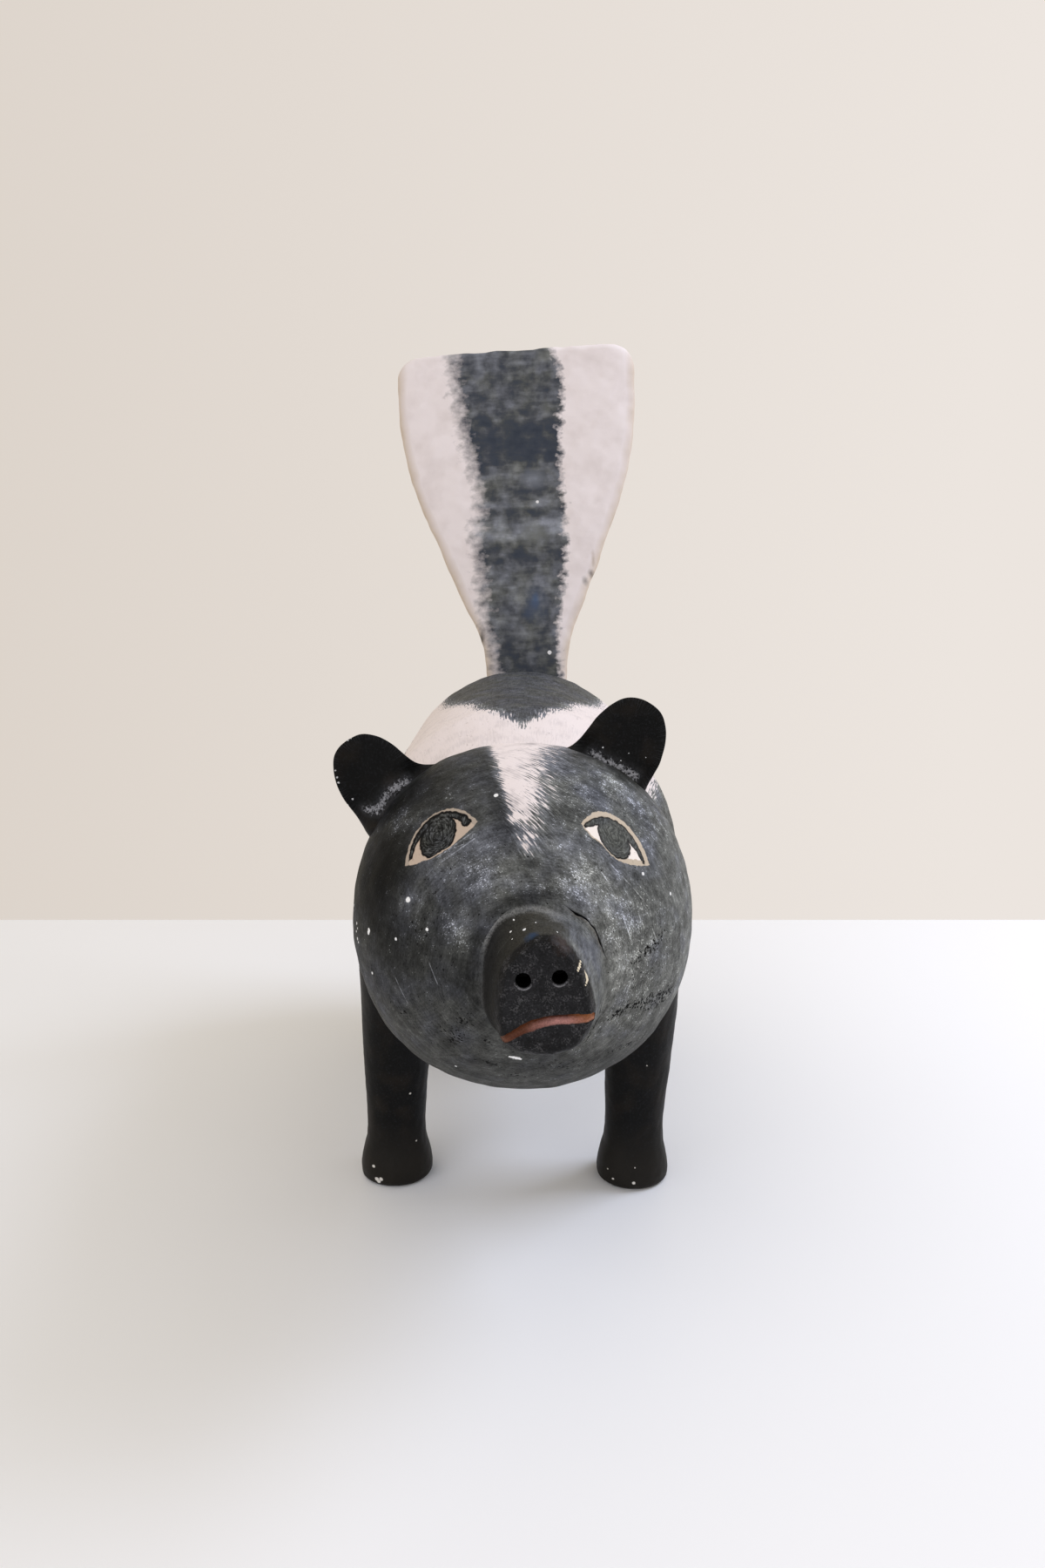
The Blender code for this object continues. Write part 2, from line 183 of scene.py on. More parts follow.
def makePiece(name, points, material, node, fields):
    # a closed mesh over rows of points, each row a ring, with a point in the middle of each end
    rows, sides = points.shape[:2]
    ends = np.stack((points[0].mean(axis=0), points[-1].mean(axis=0)))
    places = np.concatenate((points.reshape(-1, 3), ends)) / 1000 + headPlace
    i = np.arange(rows - 1)[:, None] * sides + np.arange(sides)[None, :]
    j = np.arange(rows - 1)[:, None] * sides + (np.arange(sides)[None, :] + 1) % sides
    quads = np.stack((i, j, j + sides, i + sides), axis=-1).reshape(-1, 4)
    first, after = np.arange(sides), (np.arange(sides) + 1) % sides
    last = (rows - 1) * sides
    low = np.stack((np.full(sides, rows * sides), after, first), axis=-1)
    high = np.stack((np.full(sides, rows * sides + 1), last + first, last + after), axis=-1)
    corners = np.concatenate((quads.ravel(), low.ravel(), high.ravel()))
    sizes = np.concatenate((np.full(len(quads), 4), np.full(2 * sides, 3)))
    mesh = bpy.data.meshes.new(name)
    mesh.vertices.add(len(places))
    mesh.vertices.foreach_set("co", places.astype(np.float32).ravel())
    mesh.loops.add(len(corners))
    mesh.loops.foreach_set("vertex_index", corners.astype(np.int32))
    mesh.polygons.add(len(sizes))
    mesh.polygons.foreach_set("loop_start", (np.cumsum(sizes) - sizes).astype(np.int32))
    mesh.update(calc_edges=True)
    mesh.validate()
    mesh.shade_smooth()
    for field, values in fields.items():
        values = np.asarray(values, float)
        wide = values.ndim == 3
        flat = values.reshape(rows * sides, -1)
        whole = np.concatenate((flat, flat[:sides].mean(0)[None], flat[-sides:].mean(0)[None]))
        attribute = mesh.attributes.new(field, "FLOAT_VECTOR" if wide else "FLOAT", "POINT")
        attribute.data.foreach_set("vector" if wide else "value", whole.astype(np.float32).ravel())
    mesh.materials.append(material)
    piece = addObject(name, mesh)
    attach(piece, "root")
    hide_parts(node)
    print(f"{name}: {len(quads) * 2 + 2 * sides} triangles")


# Colours and nodes


def paint(code):
    # an sRGB hex colour as the linear one that a shader takes
    values = [int(code[i : i + 2], 16) / 255 for i in (1, 3, 5)]
    linear = [v / 12.92 if v <= 0.04045 else ((v + 0.055) / 1.055) ** 2.4 for v in values]
    return (*linear, 1.0)


def addNode(tree, kind, *inputs, **named):
    # The word after a kind is its operation, data type or attribute. Inputs fill the sockets in use,
    # in their order, or go to a socket by its name. None leaves one as it is, a code is a colour.
    kind, _, mode = kind.partition(" ")
    node = tree.nodes.new("ShaderNode" + kind)
    if mode:
        setattr(node, {"Mix": "data_type", "Attribute": "attribute_name"}.get(kind, "operation"), mode)
    pairs = [*zip([s for s in node.inputs if s.enabled], inputs)]
    for socket, value in pairs + [(node.inputs[name], value) for name, value in named.items()]:
        if isinstance(value, bpy.types.Node):
            value = next(s for s in value.outputs if s.enabled)
        if isinstance(value, bpy.types.NodeSocket):
            tree.links.new(value, socket)
        elif isinstance(value, str):
            socket.default_value = paint(value)[: len(socket.default_value)]
        elif value is not None:
            socket.default_value = value
    return node


def newMaterial(name):
    # an empty material, and addNode for its tree
    material = bpy.data.materials.new(name)
    material.use_nodes = True
    material.node_tree.nodes.clear()
    return material, partial(addNode, material.node_tree)


# The muzzle's ovals, which the log's paint and its socket follow too

muzzle = {
    "x": 8.6,
    "tipFront": 94.7,
    "tipDome": 1.5,
    "tipHalf": (17.6, 22.7),
    "tipZ": -2.4,
    "rootHalf": (24.5, 28.8),
    "rootZ": -4.0,
    "power": 2.3,
    "cornerPower": 3.0,  # of the tip's lower corner on the skunk's right, which is fuller
    "egg": 0.10,  # how much wider the oval is below than above
    "tipTaper": (0.34, 0.28),  # how much narrower the tip's top is on the skunk's left and right
    "edgeFace": 0.86,  # where the rounded edge starts on the face, and ends down the side
    "edgeSide": 0.20,
    "spreadSide": 0.72,  # where the side starts to spread, and the corner of its spreading root
    "spreadRoot": 0.92,
    "collarEnd": 1.12,  # by the root's scale
    "socket": (2.5, 1.058, 0.055),  # its depth in the log, its edge by the root's scale, and the slope
    "sides": 360,
    "rows": {"face": 54, "edge": 26, "side": 26, "spread": 36, "collar": 34},
    "nostrils": ((0.3, 4.9), (13.7, 6.2)),
    "nostrilRadius": 3.0,
    "nostrilDepth": 12.0,
    "nostrilWall": 0.72,  # the share of its radius where its wall ends and its floor starts
    "nostrilBore": 0.97,  # and the wall's own radius, by the radius of the opening
    "mouthEnds": ((26.1, -9.8), (-8.0, -19.4)),
    "mouthHandles": ((14.0, -10.2), (7.5, -7.6)),
    "mouthHalf": 1.85,
    "mouthTaper": 0.32,  # how much narrower the mouth's ends are
    "mouthDepth": 1.7,
    "lipHeight": 0.25,
    "crackScale": ((12, 1.036), (24, 1.022), (39, 1.045), (50, 1.05), (62, 1.031), (74, 1.055)),
    "crackHalf": 0.34,
    "crackDepth": 1.5,
    "ridgeHeight": 0.12,
    "unevenness": ((0.10, 6.0, 21), (0.05, 2.2, 22)),
    "paleRing": (
        (70, 0.93), (81, 0.938), (94, 0.999), (115, 1.055), (135, 1.119), (151, 1.097),
        (178, 1.009), (210, 1.0),
    ),
    "collarLitGrey": 109.0,  # the smooth filler on the skunk's left, painted paler there as light falling from that side, and under the chin
    "underGrey": 84.0,
}


def muzzleOval(angles, half, middleZ, scale, corner=muzzle["power"], taper=(0.0, 0.0)):
    # X and Z of a superellipse round the muzzle, wider below its middle than above, with a power of
    # its own in the lower quarter on the skunk's right, and two sides that taper towards the top
    lowRight = (np.cos(angles) < 0) & (np.sin(angles) < 0)
    c, s = squared(angles, np.where(lowRight, corner, muzzle["power"]))
    x = half[0] * c * (1 - muzzle["egg"] * s)
    leftTaper = taper[0] * np.clip((s + 0.25) / 1.25, 0, 1) ** 1.15
    x = x * (1 - np.where(c > 0, leftTaper, taper[1] * eased((s - 0.45) / 0.6)))
    return muzzle["x"] + x * scale, middleZ + half[1] * s * scale


def rootScale(x, z):
    # how far out a place is from the muzzle's root oval, which is 1
    x, z = x - muzzle["x"], (z - muzzle["rootZ"]) / muzzle["rootHalf"][1]
    scale = np.maximum(np.hypot(x / muzzle["rootHalf"][0], z), 1e-6)
    for _ in range(5):
        across = x / (muzzle["rootHalf"][0] * (1 - muzzle["egg"] * np.clip(z / scale, -1, 1)))
        scale = np.abs(across) ** muzzle["power"] + np.abs(z) ** muzzle["power"]
        scale = np.maximum(scale ** (1 / muzzle["power"]), 1e-6)
    return scale


# The log: the ball of the head, the neck, the barrel and the rump


def logRadius(back):
    # a quarter circle in front, then eased steps between three radii, and a rounded end
    ball = np.sqrt(np.maximum(log["headRadius"] ** 2 - back**2, 0))
    neck = between(log["headRadius"], log["neckRadius"], eased(back / log["neckBack"]))
    shoulder = (back - log["neckBack"]) / (log["shoulderBack"] - log["neckBack"])
    barrel = between(log["neckRadius"], log["barrelRadius"], eased(shoulder))
    share = np.clip((back - log["rumpBack"]) / (log["endBack"] - log["rumpBack"]), 0, 1)
    rump = log["barrelRadius"] * (1 - share ** log["rumpPower"]) ** (1 / log["rumpPower"])
    zones = [back < 0, back < log["neckBack"], back < log["rumpBack"]]
    return np.select(zones, [ball, neck, barrel], rump)


def headCarving(x, y, z):
    # the crown stands a little proud of a true ball, and the ball is a little square
    out = np.maximum(np.hypot(x, z), 1e-6)
    near = bell(y, 0.6 * log["headRadius"])
    crown = log["crownRise"] * np.clip(z / out, 0, 1) ** 2
    corners = log["cornerSwell"] * (2 * x * z / out**2) ** 2
    grow = 1 + near * (crown + corners) / log["headRadius"]
    return stack(x * grow, y, z * grow)


# How the head is painted: fields at a mesh's points, which its paint then reads

facePaint = {
    "grain": (1.0, 0.70),  # length and width of the rubbed grain's flecks
    "rightGrey": 75.0,  # sRGB greys of the rubbed black paint on the skunk's two sides; the paler left side is partly painted light falling from that side
    "leftGrey": 103.0,
    "lowGrey": 71.0,
    "backGrey": (82.0, 96.0),  # behind the face, on the back and on the skunk's left
    "ringShade": 14.0,  # how much darker the head is just above the muzzle's root
    "leftEdge": 10.0,  # how much paler the turn of the left cheek is: a painted sheen at the head's edge
    "patches": (  # X and Z, half-sizes, turn in degrees, and how much paler than the rest
        (-57, 32, 11, 24, -25, -56), (-48, 4, 20, 18, 0, -30), (-22, -6, 9, 16, 0, -14),
        (-42, 64, 16, 9, 0, -24), (-8, 60, 3.5, 10, 25, -22), (-29, -35, 5, 5, 0, -16),
        (-15, -43, 8, 3, 0, -12), (52, 30, 10, 10, 0, -10), (15, 58, 6, 7, 0, -15),
        (-55.5, 52.5, 11, 2.6, 40, -28), (44, 67, 14, 2.8, -36, -46), (41, 62.6, 10, 1.6, -36, 34),
        (33, 60, 14, 9, 0, -8), (50, 52, 12, 8, -40, -14), (-2, 28.5, 13, 2.6, 8, -16),
        (-30, 38, 9, 7, 0, 24), (-17, 48, 5, 5, 0, 24), (-12, 36, 9, 8, 0, 40), (-46, 23, 6, 5, 0, 24),
        (-25, 17, 4, 6, 0, 30), (-51, 49.5, 8, 3, 35, 26), (24, 34, 7, 9, 0, 34), (36, 22, 8, 8, 0, 22),
        (38, 2, 6, 16, 0, 30), (28, -28, 9, 7, 0, 8), (14.5, 44, 8, 8, 0, 24), (-8, 44, 6, 6, 0, 10),
        (5, 34, 11, 3.0, 0, 26),
    ),
    "pits": (  # the same for weathered pits: rows that slant across the skunk's left cheek
        (37, -22, 3.5, 1.2, 35, 1.2), (46, -19.6, 9, 1.8, 8, 1.6), (57, -21, 8, 2.6, -5, 1.5),
        (54, -23, 6, 3.5, 0, 1.1), (52, 4, 8, 2.4, 28, 1.4), (50, -6, 12, 6, 0, 0.4),
        (44, -41.5, 10, 2.0, 0, 1.0), (-22.5, -21.5, 3, 3.5, 20, 1.0), (-27, -32, 4.5, 2.4, 40, 1.0),
        (-13.5, -31, 3, 2, 0, 0.7), (-13.2, -43.7, 6, 1.6, -20, 1.2), (-2, -51, 8, 2, 0, 0.7),
        (-28, -28, 8, 8, 20, 0.3), (-50, -25, 5, 4, 0, 0.6), (20, -46, 16, 4, 0, 0.6),
        (-40, 10, 12, 30, 0, 0.3),
    ),
    "rubbed": (  # and for flecks of bare ground, where a nearly dry brush went over the grain
        (-30, 60, 16, 10, 0, 0.35), (-28, 37, 12, 8, 0, 0.5), (-13, 38, 9, 10, 0, 0.9),
        (-27, 16, 6, 8, 30, 0.9), (-45, 22, 7, 5, 0, 0.6), (-51, 49.5, 9, 4, 35, 0.9),
        (24, 35, 8, 12, 0, 0.8), (38, 18, 12, 12, 0, 0.7), (48, -8, 15, 22, 0, 0.5),
        (28, 62, 14, 10, 0, 0.5), (52, 50, 12, 8, -40, 0.5), (41, 62.4, 12, 2.4, -36, 1.0),
        (-38, 12, 7, 5, 0, 0.5), (6, 33, 10, 4, 0, 0.6), (-12, -8, 8, 14, 0, -0.4),
        (20, 20, 10, 5, 45, -0.4),
    ),
}

blaze = {  # by the angle up from straight ahead, in degrees
    "foot": 35.3,
    "footX": 2.4,
    "leftSpread": 21.0,
    "leftBend": 38.0,
    "leftFeather": 1.5,
    "rightEdge": ((35.3, 2.4), (48, 2.8), (56, 6.8), (66, 6.2), (79, 8.5), (90, 13.3)),
    "rightFeather": ((35.3, 2.5), (48, 4.6), (90, 6.0)),
    "cover": ((35.3, -1.2), (37.0, 0.35), (40.5, -0.25), (45.5, -0.15), (48.5, 1.0), (52, 3.0)),
    "strokeSize": (8.0, 1.0),
    "strokeBend": (50.0, 0.70, 0.0104),  # where strokes fall steeply, and how they level out above
}

nape = {
    "front": 13.0,  # how far back the black paint of the face ends
    "halfAngle": 58.0,
    "feather": 4.2,
    "saddle": (
        (77, 0), (80, 4), (90, 8.5), (104, 14), (146, 20.5), (175, 27), (204, 33), (262, 39.5), (355, 42),
    ),
    "saddleLead": 8.0,  # how far in front of its first row the black back starts to count
    "saddleFeather": 3.2,
    "poleRadius": 50.0,  # of the black end of the rump, from poleBack on
    "poleBack": 340.0,
    "poleFeather": 3.0,
    "strokeSize": (6.0, 0.75),
}

eyes = {  # circles and an oval as places along and above the line between an eye's corners
    "eyeRight": {"corner": (-46.7, 36.1), "turn": 32.3, "skew": -0.2, "outer": ((16.6, -9.3), 19.8),
                 "ribbon": ((16.8, -7.6), 17.4), "lid": ((16.5, -8.7), 16.7),
                 "lower": ((16.5, 68.4), 70.5), "iris": ((16.6, 3.2), (8.4, 5.5), 9.0),
                 "bulb": ((29.2, 3.0), 1.5), "lowerLid": 0.0, "lidFoot": 1.2, "thick": (29.0, 0.4)},
    "eyeLeft": {"corner": (22.5, 51.8), "turn": -29.9, "skew": 0.4, "outer": ((16.5, -10.3), 19.95),
                "ribbon": ((15.8, -9.8), 18.1), "lid": ((15.4, -17.1), 22.5),
                "lower": ((18.9, 34.5), 37.45), "iris": ((15.9, 2.9), (7.85, 4.95), -16.0),
                "bulb": None, "lowerLid": 1.0, "lidFoot": -9.0, "thick": (8.0, 0.7)},
}

scratches = (  # lines through places in X and Z
    ((34.5, 39.0), (38.7, 34.4)), ((38.9, 34.2), (43.4, 29.3)), ((43.8, 28.9), (48.9, 22.4)),
    ((30.9, 36.5), (34.3, 31.4)), ((39.5, 19.5), (43.1, 8.8)), ((46.0, 19.0), (49.0, 11.5)),
    ((-34.6, 40.5), (-19.0, 51.4)), ((-32.7, 39.2), (-17.9, 49.5)), ((52.0, 12.0), (54.5, 5.0)),
    ((43.0, -2.0), (45.0, -9.0)), ((-52.0, -8.0), (-46.0, -20.0)), ((-37.0, 2.0), (-33.0, -8.0)),
)
lowCrack = (
    ((31.2, -14.5), (30.3, -21.0), (27.8, -27.5), (25.0, -33.3)),
    ((35.4, -23.7), (38.4, -20.9), (43.3, -20.0), (48.9, -18.8)), ((55.0, -21.4), (63.6, -19.6)),
)


def patchField(x, z, patches):
    # soft ovals added up, each as high as its last value
    total = np.zeros_like(x)
    for *place, wide, high, turn, height in patches:
        u, v = turned(x, z, place, turn)
        total += height * bell(u, wide) * bell(v, high)
    return total


def whiteField(x, y, z):
    # 0 in the middle of the brushed edge of the white paint, above it inside, in feathers' widths
    up = np.degrees(np.arctan2(z, -y))
    left = 1 - np.exp((blaze["foot"] - up) / blaze["leftBend"])
    left = blaze["footX"] - blaze["leftSpread"] * left
    inLeft = (x - left) / blaze["leftFeather"]
    inRight = (through(blaze["rightEdge"], up) - x) / through(blaze["rightFeather"], up)
    onFace = np.minimum(np.minimum(inLeft, inRight), through(blaze["cover"], up))
    onFace = np.where((up < blaze["foot"] - 1) | (y > nape["front"]), -9, onFace)
    turn = np.degrees(np.abs(np.arctan2(x, z)))
    out = np.hypot(x, z)
    toArc = math.pi / 180 * out
    onBack = np.minimum((y - nape["front"]), (nape["halfAngle"] - turn) * toArc) / nape["feather"]
    pole = (out - nape["poleRadius"]) / nape["poleFeather"]
    onBack = np.minimum(onBack, np.where(y > nape["poleBack"], pole, 9))
    saddle = (through(nape["saddle"], y) - turn) * toArc / nape["saddleFeather"]
    onBack = np.minimum(onBack, np.where(y > nape["saddle"][0][0] - nape["saddleLead"], -saddle, 9))
    return np.clip(np.maximum(onFace, onBack), -9, 9)


def strokeFields(x, y, z):
    # coordinates that run along the brush strokes slowly and across them fast: the strokes of the
    # blaze fall to the skunk's left, and the black was rubbed in rings round the face
    up, turn = np.arctan2(z, -y) * log["headRadius"], np.arctan2(x, z)
    level, steep, bend = blaze["strokeBend"]
    above = up - level
    long, thin = blaze["strokeSize"]
    bristle = stack((x - up) / long, (x + steep * above + bend * above**2) / thin, 0 * x)
    long, thin = nape["strokeSize"]
    lengthwise = stack(y / long, turn * log["neckRadius"] / thin, 7 + 0 * x)
    arc = log["headRadius"] * np.arccos(np.clip(-y / log["headRadius"], -1, 1)) + np.maximum(y, 0)
    along, across = facePaint["grain"]
    rings = stack(x / along, arc / across, z / along)
    behind = stack(y / along, turn * log["neckRadius"] / across, 7 + 0 * x)
    bristle = np.where((y > 8)[..., None], lengthwise, bristle)
    return bristle, np.where((y > 30)[..., None], behind, rings)


def inCircle(u, v, circle):
    (middleU, middleV), radius = circle
    return radius - np.hypot(u - middleU, v - middleV)


def eyeFields(x, y, z):
    # how far inside each outline of its eye a place is, in millimetres
    rounds, opens = np.full((*x.shape, 3), -50.0), np.full((*x.shape, 3), -50.0)
    for name, eye in eyes.items():
        u, v = turned(x, z, eye["corner"], eye["turn"])
        u = u + eye["skew"] * v
        thickAt, thicker = eye["thick"]
        outer = inCircle(u, v, eye["outer"]) + thicker * bell(u - thickAt, 5)
        ribbon = inCircle(u, v, eye["ribbon"])
        lower = inCircle(u, v, eye["lower"]) - 1.1 * bell(u - 10, 4) * eye["lowerLid"]
        lidBand = np.minimum(ribbon, -inCircle(u, v, eye["lid"]))
        lidBand = np.minimum(lidBand, v - eye["lidFoot"])
        if eye["bulb"]:
            lidBand = np.maximum(lidBand, inCircle(u, v, eye["bulb"]))
        middle, (longHalf, shortHalf), turn = eye["iris"]
        alongIris, acrossIris = turned(u, v, middle, turn)
        iris = (1 - np.hypot(alongIris / longHalf, acrossIris / shortHalf)) * shortHalf
        white = np.minimum(ribbon, lower - between(0.35, 1.7, eased((u - 13) / 10)) * eye["lowerLid"])
        near = ((x < 2) == (name == "eyeRight")) & (y < -20)
        rounds = np.where(near[..., None], stack(outer, ribbon, lidBand), rounds)
        opens = np.where(near[..., None], stack(lower, iris, white), opens)
    return np.clip(rounds, -50, 50), np.clip(opens, -50, 50)


def strokeDistance(x, y, z, lines):
    # to the nearest stroke on the face: how far beside it, how far inside its ends, how far off
    nearest = np.full((*x.shape, 3), 99.0)
    for start, end in (ends for line in lines for ends in zip(line, line[1:])):
        runX, runZ = end[0] - start[0], end[1] - start[1]
        along, across = turned(x, z, start, math.degrees(math.atan2(runZ, runX)))
        inside = np.minimum(along, math.hypot(runX, runZ) - along)
        off = np.hypot(across, np.maximum(-inside, 0))
        closer = (off < nearest[..., 2]) & (y < 0)
        nearest = np.where(closer[..., None], stack(across, inside, off), nearest)
    return nearest


def headFields(points):
    # the two sides' greys eased into one another, with the patches added, and every other field
    x, y, z = np.moveaxis(points, -1, 0)
    # the skunk's left is paler partly in its paint and partly as painted light falling from that side
    grey = between(facePaint["rightGrey"], facePaint["leftGrey"], eased((x + 2) / 34))
    low = eased((-22 - z) / 30)
    grey = between(grey, facePaint["lowGrey"], low)
    # a painted sheen along the turn of the skunk's left cheek
    grey = grey + facePaint["leftEdge"] * eased((x - 55) / 18) * (1 - low)
    grey = grey + patchField(x, z, facePaint["patches"])
    shadeRing = bell(rootScale(x, z) - 1.22, 0.07) * eased((z - x * 0.7) / 16)
    grey = grey - facePaint["ringShade"] * shadeRing * (y < log["faceEnd"])
    back = between(*facePaint["backGrey"], eased((x - 30) / 30))
    grey = between(grey, back, eased((y + 12) / 26))
    onFace = 1 - eased((y + 25) / 30)
    rubbed = between(0.25, 0.45, eased((x + 10) / 30)) + patchField(x, z, facePaint["rubbed"])
    rubbed = rubbed * between(0.4, 1, onFace)
    pits = patchField(x, z, facePaint["pits"]) * onFace
    bristle, rings = strokeFields(x, y, z)
    eyeRound, eyeOpen = eyeFields(x, y, z)
    return {
        "coat": stack(grey / 255, rubbed, pits),
        "white": whiteField(x, y, z),
        "bristle": bristle,
        "rings": rings,
        "eyeRound": eyeRound,
        "eyeOpen": eyeOpen,
        "scratch": strokeDistance(x, y, z, scratches),
        "lowCrack": strokeDistance(x, y, z, lowCrack),
    }


def logSurface():
    # a circle round the log's axis at each distance back, with its radius from logRadius, in rows
    # from the rump to the face so that the normals point out
    tilt = np.linspace(0.006, math.pi / 2, log["ballRows"])
    backs = [-log["headRadius"] * np.cos(tilt)]
    backs.append(np.linspace(0, log["shoulderBack"], log["neckRows"] + 1)[1:])
    backs.append(np.linspace(log["shoulderBack"], log["rumpBack"], log["barrelRows"] + 1)[1:])
    shares = np.sin(np.linspace(0, math.pi / 2, log["rumpRows"] + 1))[1:-1]
    backs.append(between(log["rumpBack"], log["endBack"], shares))
    back = column(np.concatenate(backs)[::-1])
    angles = roundAngles(log["sides"])
    radius = logRadius(back)
    points = headCarving(radius * np.cos(angles), back + 0 * angles, radius * np.sin(angles))
    scale = rootScale(points[..., 0], points[..., 2])
    front = points[..., 1] < log["faceEnd"]
    away = np.where(front, eased((scale - 1.15) / 0.3), 1.0)
    rise = uneven(points, log["unevenness"]) * away * eased((log["endBack"] - back) / 12)
    depth, socketScale, blend = muzzle["socket"]
    socket = np.where(front, depth * (1 - eased((scale - socketScale) / blend)), 0.0)
    return raised(points, rise - socket)


def muzzleFace(angles, scale):
    # a ring on the slightly domed face, 1 at its edge
    x, z = muzzleOval(
        angles, muzzle["tipHalf"], muzzle["tipZ"], scale, muzzle["cornerPower"], muzzle["tipTaper"]
    )
    return stack(x, -muzzle["tipFront"] - muzzle["tipDome"] * (1 - scale**2) + 0 * x, z)


def muzzleRoot(angles, scale, proud):
    # a ring round the root on the ball of the head, 1 at the root's edge
    x, z = muzzleOval(angles, muzzle["rootHalf"], muzzle["rootZ"], scale)
    points = headCarving(x, -np.sqrt(log["headRadius"] ** 2 - x**2 - z**2), z)
    return points * (1 + proud / log["headRadius"])[..., None]


def muzzleRows():
    # face, rounded edge, side, spreading root, collar on the ball and a back that closes it, with
    # how far along these each row is: 0 to 1 on the face, then one more for each. The back is first.
    angles = roundAngles(muzzle["sides"])
    one, flush = np.ones((1, 1)), np.zeros((1, 1))
    edgeStart, edge = muzzleFace(angles, one * muzzle["edgeFace"]), muzzleFace(angles, one)
    corner, root = muzzleRoot(angles, one * muzzle["spreadRoot"], flush), muzzleRoot(angles, one, flush)
    edgeEnd = between(edge, corner, muzzle["edgeSide"])
    spreadStart = between(edge, corner, muzzle["spreadSide"])
    share = {part: np.linspace(0, 1, count + 1)[1:] for part, count in muzzle["rows"].items()}
    deep = {part: values[:, None, None] for part, values in share.items()}
    collar = column(between(1, muzzle["collarEnd"], share["collar"]))
    backScale = column([muzzle["collarEnd"] + 0.01, muzzle["collarEnd"], 0.8, 0.5, 0.2])
    rows = [
        muzzleFace(angles, column(share["face"] * muzzle["edgeFace"])),
        curveBetween(edgeStart, edge, edgeEnd, deep["edge"]),
        between(edgeEnd, spreadStart, deep["side"]),
        curveBetween(spreadStart, corner, root, deep["spread"]),
        muzzleRoot(angles, collar, 0.03 * eased((collar - 1) / 0.02)),
        muzzleRoot(angles, backScale, column([-0.7, -3.0, -3.2, -3.2, -3.2])),
    ]
    parts = ("face", "edge", "side", "spread", "collar")
    zone = [i + share[part] for i, part in enumerate(parts)] + [np.full(5, 5.0)]
    return np.concatenate(rows)[::-1], column(np.concatenate(zone)[::-1]) + 0 * angles


def drilled(points, place):
    # moves what lies in a nostril's circle onto a round hole's wall and floor, and says how deep
    offX, offZ = points[..., 0] - place[0], points[..., 2] - place[1]
    away = np.hypot(offX, offZ) / muzzle["nostrilRadius"]
    wall, bore = muzzle["nostrilWall"], muzzle["nostrilBore"]
    inside = away < 1
    down = np.where(inside, np.clip((1 - away) / (1 - wall), 0, 1), 0)
    reach = np.where(away > wall, bore, away / wall * bore) / np.maximum(away, 1e-6)
    reach = np.where(inside, reach, 1)
    moved = points.copy()
    moved[..., 0] = place[0] + offX * reach
    moved[..., 2] = place[1] + offZ * reach
    moved[..., 1] += down * muzzle["nostrilDepth"]
    return moved, down


def mouthFields(points):
    # how far above the mouth's line a place is, and how far along the line, 0 to 1 from its left
    left, right = np.array(muzzle["mouthEnds"])
    nearLeft, nearRight = np.array(muzzle["mouthHandles"])
    last = 89
    share = np.linspace(0, 1, last + 1)[:, None]
    first = curveBetween(left, nearLeft, nearRight, share)
    second = curveBetween(nearLeft, nearRight, right, share)
    line = between(first, second, share)
    flat = points[..., (0, 2)].reshape(-1, 1, 2)
    off = flat - line[None]
    nearest = (off**2).sum(-1).argmin(1)
    off = off[np.arange(len(off)), nearest]
    slope = np.gradient(line, axis=0)[nearest]
    slope /= np.linalg.norm(slope, axis=-1, keepdims=True)
    above = off[:, 1] * -slope[:, 0] + off[:, 0] * slope[:, 1]
    beyond = np.abs((off * slope).sum(-1)) * np.isin(nearest, (0, last))
    shape = points.shape[:2]
    return above.reshape(shape), (nearest / last).reshape(shape), beyond.reshape(shape)


